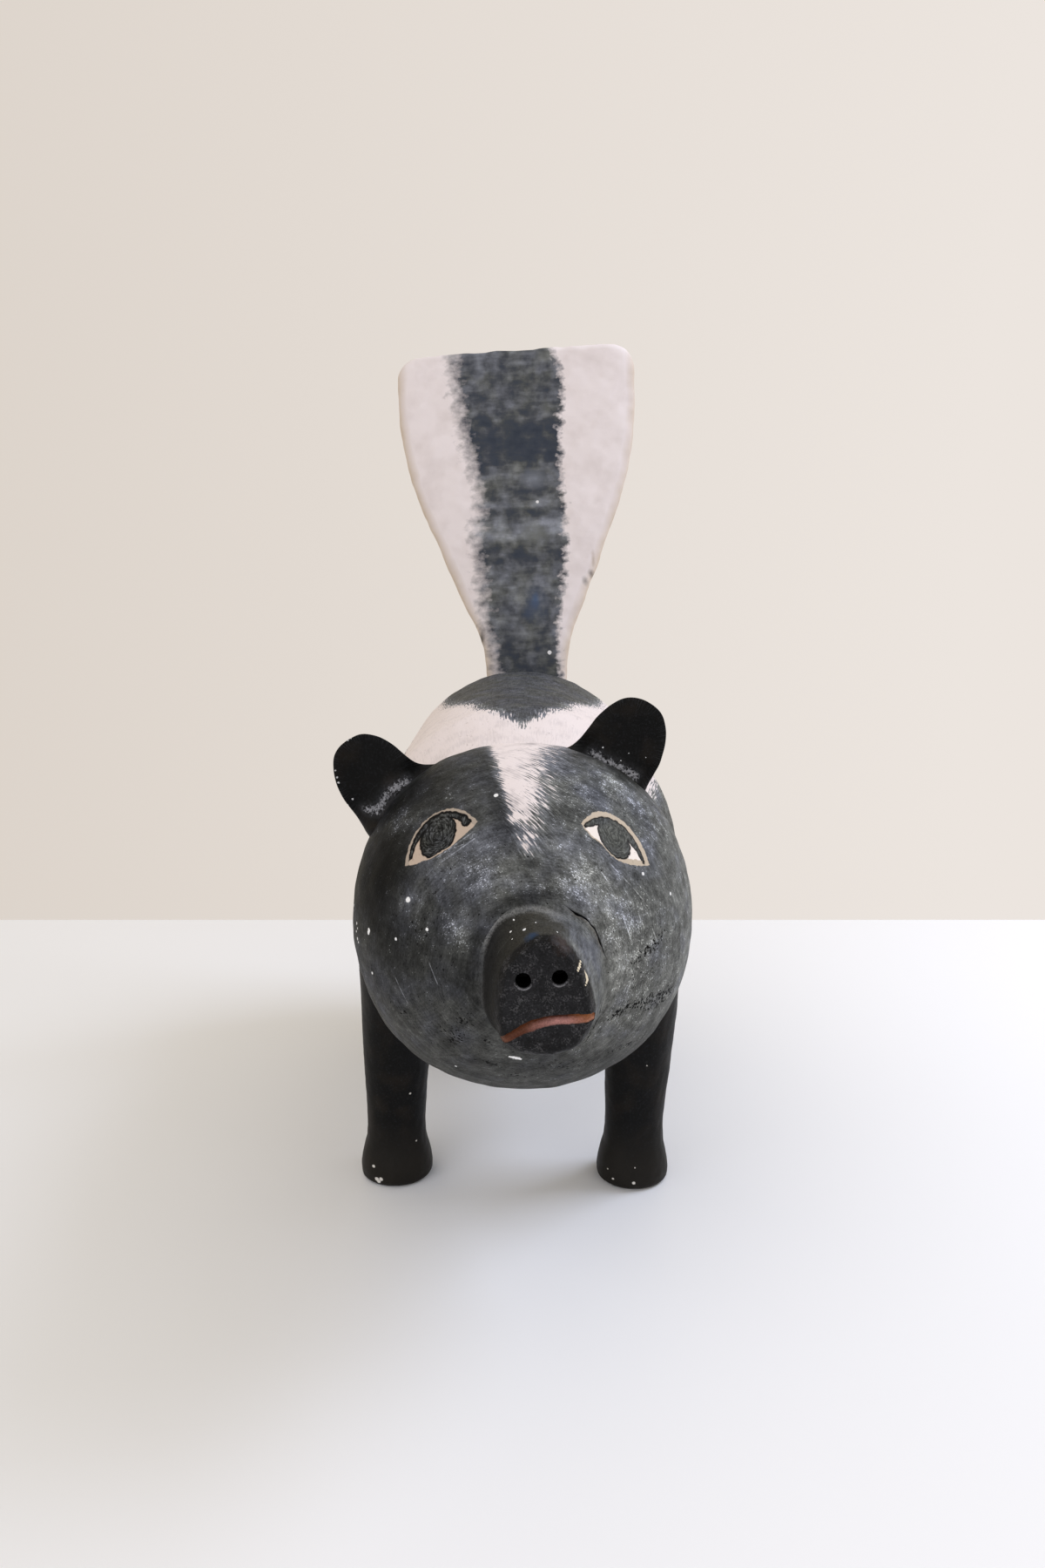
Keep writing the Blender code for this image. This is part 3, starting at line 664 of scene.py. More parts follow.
def muzzleSurface():
    # the rows, with two drilled nostrils, the mouth's groove and the crack in the collar
    points, zone = muzzleRows()
    onFace = zone < 2.25
    above, along, beyond = mouthFields(points)
    half = muzzle["mouthHalf"] * (1 - muzzle["mouthTaper"] * np.abs(2 * (along - 0.5)) ** 3)
    half = half * (1 + 0.05 * waves(points, 3.0, 5))
    away = np.hypot(above / half, beyond / 0.8)
    groove = np.sqrt(np.clip(1 - away**2, 0, 1)) * onFace
    lip = muzzle["lipHeight"] * bell(away - 1.25, 0.35) * (above < 0) * onFace
    rough = uneven(points, muzzle["unevenness"]) * np.where(zone < 4, 1 - eased((zone - 3.0) / 0.9), 0)
    points = raised(points, rough + lip)
    points[..., 1] += groove * muzzle["mouthDepth"]
    hole, beside, lower = np.zeros_like(zone), np.full_like(zone, 9), np.zeros_like(zone)
    for place in muzzle["nostrils"]:
        off = np.hypot(points[..., 0] - place[0], points[..., 2] - place[1])
        nearer = (off - muzzle["nostrilRadius"] < beside) & onFace
        beside = np.where(nearer, off - muzzle["nostrilRadius"], beside)
        lower = np.where(nearer, (place[1] - points[..., 2]) / np.maximum(off, 1e-6), lower)
        moved, down = drilled(points, place)
        points = np.where(onFace[..., None], moved, points)
        hole = np.maximum(hole, down * onFace)
    scale = rootScale(points[..., 0], points[..., 2])
    turn = np.degrees(roundAngles(muzzle["sides"])) + 0 * zone
    across = scale - through(muzzle["crackScale"], turn) - 0.004 * waves(points, 5.0, 31)
    across = across * muzzle["rootHalf"][0]
    crackStart, crackEnd = muzzle["crackScale"][0][0], muzzle["crackScale"][-1][0]
    ends = eased((turn - crackStart) / 14) * eased((crackEnd - turn) / 14)
    width = muzzle["crackHalf"] * (0.35 + 0.65 * ends) * (1 + 0.25 * waves(points, 3.5, 32))
    onCollar = (zone > 3.3) & (zone < 5)
    crack = np.clip(1 - np.abs(across) / width, 0, 1) * ends * onCollar
    ridge = muzzle["ridgeHeight"] * ends * bell(across + 0.5, 0.5) * onCollar
    across = np.where(onCollar, across, 9)
    points = raised(points, ridge - muzzle["crackDepth"] * np.sqrt(crack))
    brown = 1 - eased((np.abs(turn - 150) - 70) / 40)  # umber and painted shade, strongest on the upper side, at 150 degrees, away from the light
    fromRing = scale - through(muzzle["paleRing"], turn)
    brown = brown * (1 - eased((fromRing + 0.05) / 0.06)) * (zone < 4.9)
    paleRing = fromRing * muzzle["rootHalf"][0]
    paleEnds = eased((turn - 60) / 26) * (1 - 0.85 * eased((turn - 142) / 24)) * eased((215 - turn) / 30)
    fields = headFields(points)
    smooth = 1 - eased((zone - 4.0) / 0.7)
    grey, rubbed, pits = np.moveaxis(fields["coat"], -1, 0)
    down = (-turn) % 360  # from straight left, clockwise in the picture
    under = eased((down - 60) / 40) * (down < 180)
    collarLitGrey = between(muzzle["collarLitGrey"], muzzle["underGrey"], under) / 255
    # the muzzle's side is painted paler towards the skunk's left, as light falling from that side
    grey = between(grey, collarLitGrey, smooth * (np.cos(np.radians(turn)) * 0.5 + 0.5))
    fields.update(
        {
            "coat": stack(grey, rubbed * (1 - smooth), pits * (1 - smooth)),
            "zone": zone,
            "mouth": stack(np.where(onFace, away, 9), above, along),
            "nostril": stack(beside, lower, hole),
            "crack": stack(crack, across, ends),
            "side": stack(brown, np.where(zone > 3, paleRing, 9), paleEnds),
        }
    )
    return points, fields


ears = {
    "earLeft": {"node": "ear_left", "root": (39.2, 3.0, 67.4), "angle": 64.0, "length": 32.8,
                "half": 18.0, "spread": 2.6, "ridge": ((-14, 2), (0, 1.5), (14, 1.2))},
    "earRight": {"node": "ear_right", "root": (-58.5, 1.0, 54.8), "angle": 123.0, "length": 30.8,
                 "half": 17.2, "spread": 9.5, "ridge": ((-14, 1.6), (-5, -1.2), (0, 1.3), (14, 1.2))},
}
earShape = {
    "depth": 12.0,  # how far it is let into the head
    "power": 2.4,
    "bowl": 5.5,  # how far its edges and its tip bend forward
    "edge": 2.2,  # its thickness at the tip, and down the middle at the root
    "middle": 4.2,
    "bowlStart": 0.4,  # the share of its length where the bowl is full
    "spreadReach": 3.5,  # how fast the spread towards the crown dies out up the leaf
    "spreadMost": 14.0,
    "fillet": 2.5,  # the same for the thicker root
    "filletReach": 5.0,
    "filletMost": 10.0,
    "sides": 168,
    "rootRows": 24,
    "leafRows": 120,
    "fillerHeight": 0.55,
    "lumps": ((0.3, 3.2, 41), (0.25, 1.6, 42)),  # of the filler: heights, lengths and seeds
    "unevenness": ((0.06, 7.0, 43),),
}


def earSurface(ear):
    # a leaf as thin as its thickness curve, with a bowl that bends its edges forward
    crownSide = -math.copysign(1, ear["root"][0])
    angles = roundAngles(earShape["sides"])
    c, s = np.cos(angles), np.sin(angles)
    low = np.linspace(-earShape["depth"], 0, earShape["rootRows"])
    leaf = ear["length"] * np.sin(np.linspace(0, 1.535, earShape["leafRows"]))
    along = column([*low, *leaf[1:]])
    share = np.maximum(along, 0) / ear["length"]
    half = ear["half"] * (1 - share ** earShape["power"]) ** (1 / earShape["power"])
    wider = ear["spread"] * np.exp(-along / earShape["spreadReach"])
    wider = np.minimum(wider, earShape["spreadMost"])
    x = half * c + wider * np.clip(c * crownSide, 0, 1) * crownSide
    middle = between(earShape["middle"], earShape["edge"], share)
    thick = between(earShape["edge"], middle, s**2)
    fillet = earShape["fillet"] * np.exp(-along / earShape["filletReach"])
    fillet = np.minimum(fillet, earShape["filletMost"])
    thick = thick + fillet * between(1, 2, s < 0)
    bowl = earShape["bowl"] * np.sqrt(1 - share) * eased(share / earShape["bowlStart"])
    y = 0.5 * thick * power(s, 0.6) - bowl * c**2 - earShape["bowl"] * share**2
    local = stack(x, y, along + 0 * x)
    ridgeAt = through(ear["ridge"], x)
    filler = bell(local[..., 2] - ridgeAt, 3.0) * (s < 0) * eased((15 - np.abs(x)) / 4)
    rise = earShape["fillerHeight"] * filler * (0.5 + uneven(local, earShape["lumps"]))
    rise = rise + uneven(local, earShape["unevenness"])
    local = raised(local, rise * eased((along + 6) / 4))
    rim = np.minimum(half * (1 - np.abs(c)), (ear["length"] - along) * 0.8)
    fields = {"leaf": stack(np.arctan2(along - 12, x) * 22, filler, rim)}
    return placed(local, ear["root"], (0, math.radians(90 - ear["angle"]))), fields


legs = {
    "legFrontLeft": {"node": "leg_front_left", "x": 59.0, "back": 79.0, "lean": 4.0, "haunch": 1.35},
    "legFrontRight": {"node": "leg_front_right", "x": -68.0, "back": 82.0, "lean": 2.0, "haunch": 1.35},
    "legRearLeft": {"node": "leg_rear_left", "x": 61.0, "back": 258.0, "lean": 3.0, "haunch": 1.65},
    "legRearRight": {"node": "leg_rear_right", "x": -66.0, "back": 258.0, "lean": 1.0, "haunch": 1.65},
}
legShape = {
    "outline": (  # height above the sole, and half-width there
        (0.0, 16.8), (1.2, 18.4), (4.5, 19.3), (9.0, 19.0), (15.0, 17.8), (21.0, 16.4), (27.0, 15.9),
        (45.0, 16.3), (65.0, 17.6), (85.0, 18.5), (104.0, 19.1), (125.0, 19.6), (142.0, 19.0),
        (154.0, 15.8), (162.0, 9.8),
    ),
    "power": 2.1,
    "haunchStart": 60.0,
    "haunchFull": 130.0,
    "toeRidge": 0.5,
    "unevenness": ((0.12, 22.0, 51), (0.05, 6.0, 52)),
    "inset": 0.25,  # so that the waves stay inside the part's own size
    "sides": 132,
    "rows": ((0.0, 46), (30.0, 62), (150.0, 12)),  # heights where foot, post and top start, and rows
}


def legSurface(leg):
    # a superellipse at each height, from a flat sole to a rounded top inside the log
    angles = roundAngles(legShape["sides"])
    (sole, footRows), (ankle, postRows), (neck, topRows) = legShape["rows"]
    foot = np.linspace(sole, ankle, footRows)
    post = np.linspace(ankle, neck, postRows)[1:]
    rounded = np.sin(np.linspace(0, math.pi / 2, topRows))
    top = between(neck, legShape["outline"][-1][0], rounded)[1:]
    height = column([*foot, *post, *top])
    half = through(legShape["outline"], height)
    swell = (height - legShape["haunchStart"]) / (legShape["haunchFull"] - legShape["haunchStart"])
    longer = between(1, leg["haunch"], eased(swell))
    c, s = squared(angles, legShape["power"])
    shift = leg["lean"] * eased(height / legShape["haunchFull"])
    rings = stack(half * c + shift, half * longer * s, height + 0 * c)
    sole = rings[:1] * np.array((0.5, 0.5, 1))
    cap = rings[-1:] * np.array((0.5, 0.5, 1))
    cap = cap + np.array((shift[-1, 0] * 0.5, 0, 2.6))
    points = np.concatenate((sole, rings, cap))
    onToe = bell(points[..., 0], 1.6) * (s < 0) * (1 - eased((points[..., 2] - 6) / 14))
    offFloor = eased(points[..., 2] / 3)
    rise = legShape["toeRidge"] * onToe * offFloor + uneven(points, legShape["unevenness"])
    points = raised(points, rise * offFloor - legShape["inset"], (1, 1, 0))
    return points + np.array((leg["x"], leg["back"], -axisHeight))


tail = {
    "foot": (4.8, 314.5, 40.0),
    "outline": (
        (0.0, 27.8), (37.0, 28.1), (50.0, 28.8), (64.0, 32.5), (88.5, 42.5), (114.0, 52.5),
        (145.0, 65.0), (171.0, 74.0), (205.0, 80.2), (237.0, 81.5),
    ),
    "height": 256.7,
    "footThick": 30.0,
    "topThick": 25.0,
    "power": 4.5,
    "corner": 16.0,  # radius of its top corners, and of its top edges
    "rounding": 4.0,
    "lean": 6.0,  # degrees that it leans back, and turns about the line of sight
    "tip": -2.25,
    "topSlope": math.tan(math.radians(1.6)),
    "unevenness": ((0.25, 26.0, 61), (0.10, 9.0, 62)),
    "inset": 0.35,
    "sides": 300,
    "rows": 150,
    "cornerRows": 26,
    "leftEdge": (
        (0, -14), (34, -20), (80, -28), (106, -30), (131, -32), (156, -28), (179, -32), (205, -37.5),
        (252, -43),
    ),
    "rightEdge": ((0, 24), (79, 24), (103, 28), (205, 28.5), (235, 31), (257, 24.5)),
    "leftFeather": 6.0,
    "rightFeather": 5.0,
    "clean": "#e9dfde",
    "soiled": "#ded3d1",
    # tan and darker at the rounded sides: painted bounce light and painted shade
    "edgeBounceAndShade": "#c4b3a0",
    "slate": "#414855",
    "drip": "#e4e2e2",
    "soilSize": 14.0,
    "blotchSize": 8.0,
    "dabStretch": (0.06, 0.0, 0.24),
    "tuftStretch": (0.15, 0.0, 0.20),
    "dabGrey": 0.34,  # how far the dabs and the blotches vary the stripe's grey
    "blotchGrey": 0.56,
    "tufts": 3.8,  # how far the brush's tufts break up the stripe's edge, in feathers
    "haze": (0.5, 1.1),  # half-widths of the blurred edge at the two sides, in feathers
    "greys": (  # the stripe's own bands, by height
        (0, 0.34), (34, 0.32), (60, 0.38), (86, 0.41), (110, 0.39), (120, 0.31), (124, 0.33), (133, 0.52),
        (143, 0.42), (148, 0.33), (152, 0.43), (161, 0.34), (170, 0.44), (182, 0.29), (204, 0.27),
        (215, 0.34), (230, 0.36), (250, 0.40),
    ),
    "drips": ((15.9, 0, 51.8, 1.5), (11.4, 0, 154.1, 1.1)),
    "smearsAndReflections": (  # X and Z on the board, half-sizes and colour
        (7.6, 88.0, 3.0, 5.0, "#4f719f"), (7.0, 86.0, 9.0, 14.0, "#4a5468"),
        (46.8, 104.8, 3.0, 3.6, "#4f4a47"), (42.2, 99.8, 3.0, 3.4, "#6d6863"),
        (48.4, 114.0, 1.8, 7.0, "#a59482"), (-30.4, 63.1, 2.5, 8.0, "#4a4644"),
        (9.0, 170.0, 9.0, 7.0, "#747880"), (9.0, 134.0, 12.0, 8.0, "#70726f"),
    ),
}


def tailSurface():
    # a squared oval at each height, with round top corners and a sawn top that slopes
    angles = roundAngles(tail["sides"])
    cornerStart = tail["height"] - tail["corner"]
    bend = np.sin(np.linspace(0, math.pi / 2, tail["cornerRows"]))[1:]
    height = column([*np.linspace(0, cornerStart, tail["rows"]), *(cornerStart + tail["corner"] * bend)])
    half = through(tail["outline"], height)
    into = np.maximum(height - cornerStart, 0)
    cornerHalf = np.sqrt(np.maximum(tail["corner"] ** 2 - into**2, 0))
    cornerHalf = cornerHalf + tail["outline"][-1][1] - tail["corner"]
    half = np.where(into > 0, cornerHalf, half)
    thick = between(tail["footThick"], tail["topThick"], height / tail["height"])
    intoEdge = np.maximum(height - tail["height"] + tail["rounding"], 0)
    edge = tail["rounding"] - np.sqrt(np.maximum(tail["rounding"] ** 2 - intoEdge**2, 0))
    c, s = squared(angles, tail["power"])
    x, y = half * c, (0.5 * thick - edge) * s
    rings = stack(x, y, height + 0 * x)
    inner = np.array([0.9, 0.75, 0.5, 0.25])[:, None, None]
    cap = rings[-1:] * np.concatenate((np.repeat(inner, 2, axis=2), np.ones_like(inner)), axis=2)
    sole = rings[:1] * np.array((0.5, 0.5, 1))
    local = np.concatenate((sole, rings, cap))
    local[..., 2] += tail["topSlope"] * local[..., 0] * (local[..., 2] / tail["height"]) ** 2
    rise = uneven(local, tail["unevenness"]) - tail["inset"]
    local = raised(local, rise * (local[..., 2] > 4))
    x, y, z = np.moveaxis(local, -1, 0)
    wide = through(tail["outline"], z)
    inLeft = (x - through(tail["leftEdge"], z)) / tail["leftFeather"]
    inRight = (through(tail["rightEdge"], z) - x) / tail["rightFeather"]
    fromSide = wide - np.abs(x)
    stripe = np.clip(np.minimum(inLeft, inRight), -9, 9)
    soft = between(*tail["haze"], eased((inRight * tail["rightFeather"] - 14) / 20))
    fields = {
        "board": local,
        "stripe": stripe,
        "coat": stack(through(tail["greys"], z), fromSide, soft),
    }
    turn = (-math.radians(tail["lean"]), math.radians(tail["tip"]))
    return placed(local, tail["foot"], turn), fields


# Finishes. Every pattern is scaled in millimetres, and a bump's height is in millimetres too.

blackPaint = {  # water-based paint, brushed on thin and rubbed: matt, with the grain's flecks bare
    "grain": 1.0,  # how strongly each pattern varies the grey, as a share of it
    "streak": 0.5,
    "mottle": 0.8,
    "cloud": 0.5,
    "hatch": 0.4,
    "mottleSize": 4.0,
    "cloudSize": 16.0,
    "streakStretch": (0.10, 0.60, 0.10),
    "pitStretch": (0.8, 0.55, 0.8),
    "saltSize": 0.75,
    "salt": 0.38,  # how much paler the smallest flecks are
    "scratch": 0.28,  # how much paler a scratch is
    "haze": 0.24,  # how much paler the dry edge round the white paint is
    "darkest": 0.28,  # the least that the patterns leave of the grey
    "relief": {"streak": 0.08, "grain": 0.12, "pit": -0.45},
    "tintSize": 14.0,
    "blue": "#e9eefc",
    "olive": "#f2f5f0",
    "crack": "#050505",
    "roughness": 0.65,
    "specular": 0.12,
}
whitePaint = {  # chalky white brushed over the black, a little pink
    "clean": "#e7dcda",
    "soiled": "#a39c9d",
    "soilSize": 9.0,
    "bristles": 7.5,  # how far the strokes break up its edge, in feathers' widths
    "thickness": 0.07,
    "drip": "#eeeeee",
    "roughness": 0.70,
}
eyePaint = {  # thin opaque colours, an iris rubbed back to slate, and fine cut lines
    "ribbonRight": "#a99b8d",
    "ribbonLeft": "#c4b5a2",
    "whiteRight": "#bfac9b",
    "whiteLeft": "#f3e9e2",
    "line": "#070708",
    "lineFade": (0.20, 0.46),  # how far from an outline its line starts and ends to fade
    "wobble": 0.22,  # how far an outline strays
}
headSplashes = (  # places and radii of the drips of white paint
    (-10.7, -40.6, 63.4, 1.0), (48.6, -47.9, 32.7, 0.7), (-45.5, -54.7, 23.8, 1.2),
    (-63.5, -39.5, 6.2, 1.1), (-63.9, -39.0, 5.0, 1.0), (-51.0, -54.5, 7.4, 0.75),
    (-37.6, -63.3, 14.3, 0.75), (-62.4, -39.7, -12.3, 0.75), (-5.2, -64.0, -38.7, 0.5),
    (-4.4, -63.9, -38.9, 0.75), (-3.5, -63.8, -39.1, 0.95), (-2.5, -63.6, -39.4, 1.0),
    (-1.6, -63.5, -39.6, 0.9), (-0.8, -63.3, -40.0, 0.6), (-27.4, -50.0, -48.7, 0.7),
    (61.0, -38.7, 21.7, 0.8), (-61.8, -30.9, 29.2, 0.6), (-72.3, -18.0, 10.5, 0.8),
    (-72.0, -19.0, 8.6, 0.6), (-70.9, -25.0, 4.6, 0.8), (-70.0, -26.5, 2.8, 0.6),
    (-70.9, -24.6, 0.9, 0.6), (-70.2, -26.4, -1.8, 0.8), (-69.8, -27.6, -3.0, 0.5),
)


def finished(name, layers):
    # paint over wood: layers gives its colour, roughness, specular level and height at a place, in
    # millimetres from the middle of the head
    material, add = newMaterial(name)
    place = add("VectorMath SUBTRACT", add("TexCoord").outputs["Object"], tuple(headPlace))
    colour, roughness, specular, height = layers(add, add("VectorMath SCALE", place, 1000.0))
    relief = add("Bump", 1.0, 0.001, None, height)
    sockets = {"Roughness": roughness, "Specular IOR Level": specular, "Normal": relief}
    add("OutputMaterial", add("BsdfPrincipled", colour, **sockets))
    return material


def parts(add, field):
    # the three numbers of a field that makePiece wrote on the mesh
    return add("SeparateXYZ", add("Attribute " + field).outputs["Vector"]).outputs


def splashed(add, place, colour, splashes, code):
    # ragged drips of white paint at their places
    ragged = add("TexNoise", place, 1.3, 1.0).outputs["Color"]
    place = add("VectorMath MULTIPLY_ADD", ragged, (0.5, 0.5, 0.5), place)
    nearest = None
    for *middle, radius in splashes:
        off = add("VectorMath DISTANCE", place, [c + 0.25 for c in middle])
        off = add("Math DIVIDE", off, radius)
        nearest = add("Math MINIMUM", off, nearest) if nearest else off
    return add("Mix RGBA", add("MapRange", nearest, 0.8, 1.05, 1.0, 0.0), colour, code)


def rubbedBlack(add, place):
    # the grey of the rubbed black paint, its height, and the brush strokes' noise
    ground, rubbed, pitted = parts(add, "coat")
    rings = add("Attribute rings").outputs["Vector"]
    bristle = add("Attribute bristle").outputs["Vector"]
    streaks = add("VectorMath MULTIPLY", rings, blackPaint["streakStretch"])
    noises = {
        "grain": add("TexNoise", rings, 1.0, 3.0, 0.65),
        "streak": add("TexNoise", streaks, 1.0, 2.0),
        "mottle": add("TexNoise", place, 1 / blackPaint["mottleSize"], 3.0),
        "cloud": add("TexNoise", place, 1 / blackPaint["cloudSize"], 2.0),
        "hatch": add("TexNoise", bristle, 1.0, 2.0),
    }
    share = 1 - sum(blackPaint[name] for name in noises) / 2
    for name, noise in noises.items():
        share = add("Math MULTIPLY_ADD", noise, blackPaint[name], share)
    grey = add("Math MULTIPLY", ground, add("Math MAXIMUM", share, blackPaint["darkest"]))
    salt = add("TexNoise", rings, 1 / blackPaint["saltSize"], 2.0, 0.6)
    salt = add("Math MULTIPLY_ADD", noises["mottle"], 0.4, salt)
    over = add("Math SUBTRACT", salt, add("MapRange", rubbed, 0.1, 1.1, 0.95, 0.79))
    grey = add("Math ADD", grey, add("MapRange", over, 0.0, 0.05, 0.0, blackPaint["salt"]))
    dashes = add("VectorMath MULTIPLY", rings, blackPaint["pitStretch"])
    dashes = add("TexNoise", dashes, 1.0, 1.0)
    over = add("Math SUBTRACT", dashes, add("MapRange", pitted, 0.0, 1.0, 0.74, 0.53))
    pit = add("MapRange", over, 0.0, 0.035)
    grey = add("Math MULTIPLY", grey, add("MapRange", pit, 0.0, 1.0, 1.0, 0.08))
    relief = blackPaint["relief"]
    height = add("Math MULTIPLY", noises["streak"], relief["streak"])
    for name, pattern in (("grain", noises["grain"]), ("pit", pit)):
        height = add("Math MULTIPLY_ADD", pattern, relief[name], height)
    return grey, height, noises["hatch"]


def greyPaint(add, place, grey):
    # a grey from 0 to 1 as colour: bluer where it is rubbed pale, olive where it is dark
    tint = add("TexNoise", place, 1 / blackPaint["tintSize"], 2.0)
    tint = add("Math MULTIPLY_ADD", grey, 0.3, tint)
    x, _, z = add("SeparateXYZ", place).outputs
    side = add("MapRange", add("Math SUBTRACT", z, x), -60.0, 60.0, -0.12, 0.12)
    tint = add("MapRange", add("Math ADD", tint, side), 0.54, 0.84)
    tint = add("Mix RGBA", tint, blackPaint["olive"], blackPaint["blue"])
    light = add("Math POWER", add("Math MAXIMUM", grey, 0.02), 2.2)
    return add("VectorMath SCALE", tint, light)


def brushedWhite(add, place, colour, height, strokes):
    # white paint whose edge breaks up into bristle strokes, soiled between them on the face
    white = add("Attribute white").outputs["Fac"]
    inside = add("Math MULTIPLY_ADD", strokes, whitePaint["bristles"], white)
    inside = add("Math SUBTRACT", inside, whitePaint["bristles"] / 2)
    mask = add("MapRange", inside, -0.2, 0.25)
    soil = add("TexNoise", place, 1 / whitePaint["soilSize"], 4.0)
    soil = add("MapRange", add("Math MULTIPLY_ADD", strokes, -0.8, soil), 0.06, 0.34)
    back = add("SeparateXYZ", place).outputs["Y"]
    soil = add("Math MULTIPLY", soil, add("MapRange", back, -5.0, 15.0, 0.9, 0.25))
    tone = add("Mix RGBA", soil, whitePaint["clean"], whitePaint["soiled"])
    colour = add("Mix RGBA", mask, colour, tone)
    return colour, add("Math MULTIPLY_ADD", mask, whitePaint["thickness"], height)


def paintedEyes(add, place, colour, height):
    # ribbon, whites, lid and iris, laid over each other, with cut lines between them
    wobble = add("TexNoise", place, 0.45, 2.0)
    wobble = add("MapRange", wobble, 0.3, 0.7, -eyePaint["wobble"], eyePaint["wobble"])
    rounds, opens = (add("Attribute " + field).outputs["Vector"] for field in ("eyeRound", "eyeOpen"))
    outer, ribbon, lid = add("SeparateXYZ", add("VectorMath ADD", rounds, wobble)).outputs
    lower, iris, white = add("SeparateXYZ", add("VectorMath ADD", opens, wobble)).outputs
    onEye = add("MapRange", add("Math MINIMUM", outer, lower), -0.08, 0.12)
    left = add("MapRange", add("SeparateXYZ", place).outputs["X"], 0.0, 1.0)
    for layer, mask in (("ribbon", onEye), ("white", add("MapRange", white, 0.0, 0.2))):
        tone = add("Mix RGBA", left, eyePaint[layer + "Right"], eyePaint[layer + "Left"])
        colour = add("Mix RGBA", mask, colour, tone)
    rub = add("VectorMath MULTIPLY_ADD", opens, (0.0, 2.0, 0.0), add("VectorMath SCALE", place, 0.7))
    rub = add("TexNoise", rub, 1.0, 4.0, 0.7)
    slate = add("MapRange", rub, 0.40, 0.68, 0.07, 0.46)
    slate = add("Mix FLOAT", left, slate, add("MapRange", rub, 0.38, 0.70, 0.22, 0.50))
    slate = add("VectorMath MULTIPLY", greyPaint(add, place, slate), (1.0, 1.0, 0.93))
    above = add("Math SUBTRACT", lower, 0.4)
    dark = add("Math MAXIMUM", add("Math MINIMUM", iris, ribbon), lid)
    dark = add("Math MINIMUM", dark, above)
    colour = add("Mix RGBA", add("MapRange", dark, 0.0, 0.2), colour, slate)
    line = add("Math MULTIPLY_ADD", left, 0.12, add("Math ABSOLUTE", dark))
    line = add("MapRange", line, *eyePaint["lineFade"], 1.0, 0.0)
    for limit in (add("MapRange", above, -0.1, 0.1), onEye):
        line = add("Math MULTIPLY", line, limit)
    colour = add("Mix RGBA", line, colour, eyePaint["line"])
    return colour, add("Math MULTIPLY_ADD", line, -0.15, height)


def fineStroke(add, field, breaks, halfWidth=0.20):
    # 1 on the strokes of a field made by strokeDistance, thinning out at their ends
    across, inside, off = parts(add, field)
    mask = add("MapRange", add("Math ABSOLUTE", across), halfWidth * 0.5, halfWidth * 1.5, 1.0, 0.0)
    for limit in (add("MapRange", inside, 0.0, 1.5), add("MapRange", off, 2.0, 3.0, 1.0, 0.0), breaks):
        mask = add("Math MULTIPLY", mask, limit)
    return mask


def headLayers(add, place):
    # everything that is painted on the head, from the black ground to the scratches
    grey, height, strokes = rubbedBlack(add, place)
    breaks = add("MapRange", add("TexNoise", place, 0.7, 2.0), 0.40, 0.56, 0.3, 1.0)
    pale = fineStroke(add, "scratch", breaks)
    grey = add("Math MULTIPLY_ADD", pale, blackPaint["scratch"], grey)
    haze = add("Math MULTIPLY_ADD", strokes, 6.0, add("Attribute white").outputs["Fac"])
    grey = add("Math ADD", grey, add("MapRange", haze, 0.8, 3.2, 0.0, blackPaint["haze"]))
    colour, height = brushedWhite(add, place, greyPaint(add, place, grey), height, strokes)
    colour, height = paintedEyes(add, place, colour, height)
    crack = fineStroke(add, "lowCrack", breaks)
    colour = add("Mix RGBA", crack, colour, blackPaint["crack"])
    return colour, add("Math MULTIPLY_ADD", crack, -0.3, height)


def paintedWood(add, place):
    # black and white paint over carved wood: matt
    colour, height = headLayers(add, place)
    colour = splashed(add, place, colour, headSplashes, whitePaint["drip"])
    return colour, blackPaint["roughness"], blackPaint["specular"], height


muzzlePaint = {  # the tip is satin black over the rubbed paint, and the mouth's red is painted pink as light on its lower wall and dark as shade on its upper edge
    "tip": "#1b1b1d",
    "tipFleck": "#5d5c5e",
    "tipRoughness": 0.50,
    "tipEnd": (2.12, 2.36),  # how far along the muzzle's rows the black fades out
    # umber and painted shade on the muzzle's side, the deeper one on the skunk's right, away from the
    # light
    "umberAndShade": "#37352f",
    "umberDeepShade": "#161514",
    "ring": "#8b8b8a",
    # two painted reflections on the tip's top edge, one blue and one brown
    "smearsAndReflections": (((3.2, -88.3, 20.0), 3.0, "#2b4260"), ((14.8, -91.2, 18.0), 5.0, "#38281f")),
    # the groove's upper edge is painted dark as shade, and its lower wall pink as lit
    "mouthShadedEdge": "#3c1a08",
    "mouthInside": "#ba8780",
    "mouthNear": "#96603a",  # its end on the skunk's left
    "mouthFar": "#58311b",
    "rim": "#7f7e82",
    "lip": "#7f776f",
    "hole": "#030303",
    "chip": "#dccfb6",
}
muzzleSplashes = (
    (0.7, -80.2, 19.7, 0.8), (-4.5, -75.7, 17.4, 0.55), (-3.3, -72.1, 21.0, 0.35),
    (5.0, -77.7, 21.7, 0.32), (-3.9, -81.3, 16.3, 0.35), (13.0, -85.9, 20.6, 0.35),
)
muzzleChips = (  # along the tip's rim on the skunk's left
    (21.7, -90.1, 10.65, 0.65), (21.4, -91.1, 10.0, 0.65), (21.1, -92.1, 9.5, 0.65),
    (20.7, -93.1, 9.0, 0.65), (20.4, -94.0, 8.5, 0.45), (23.1, -90.1, 6.7, 0.6),
    (23.5, -90.0, 6.0, 0.7), (23.8, -90.0, 5.4, 0.75), (24.0, -90.3, 4.7, 0.95),
    (24.1, -90.6, 4.0, 0.95), (23.9, -91.4, 3.5, 0.65), (23.7, -92.1, 3.1, 0.6),
    (23.3, -93.2, 2.5, 0.4),
)


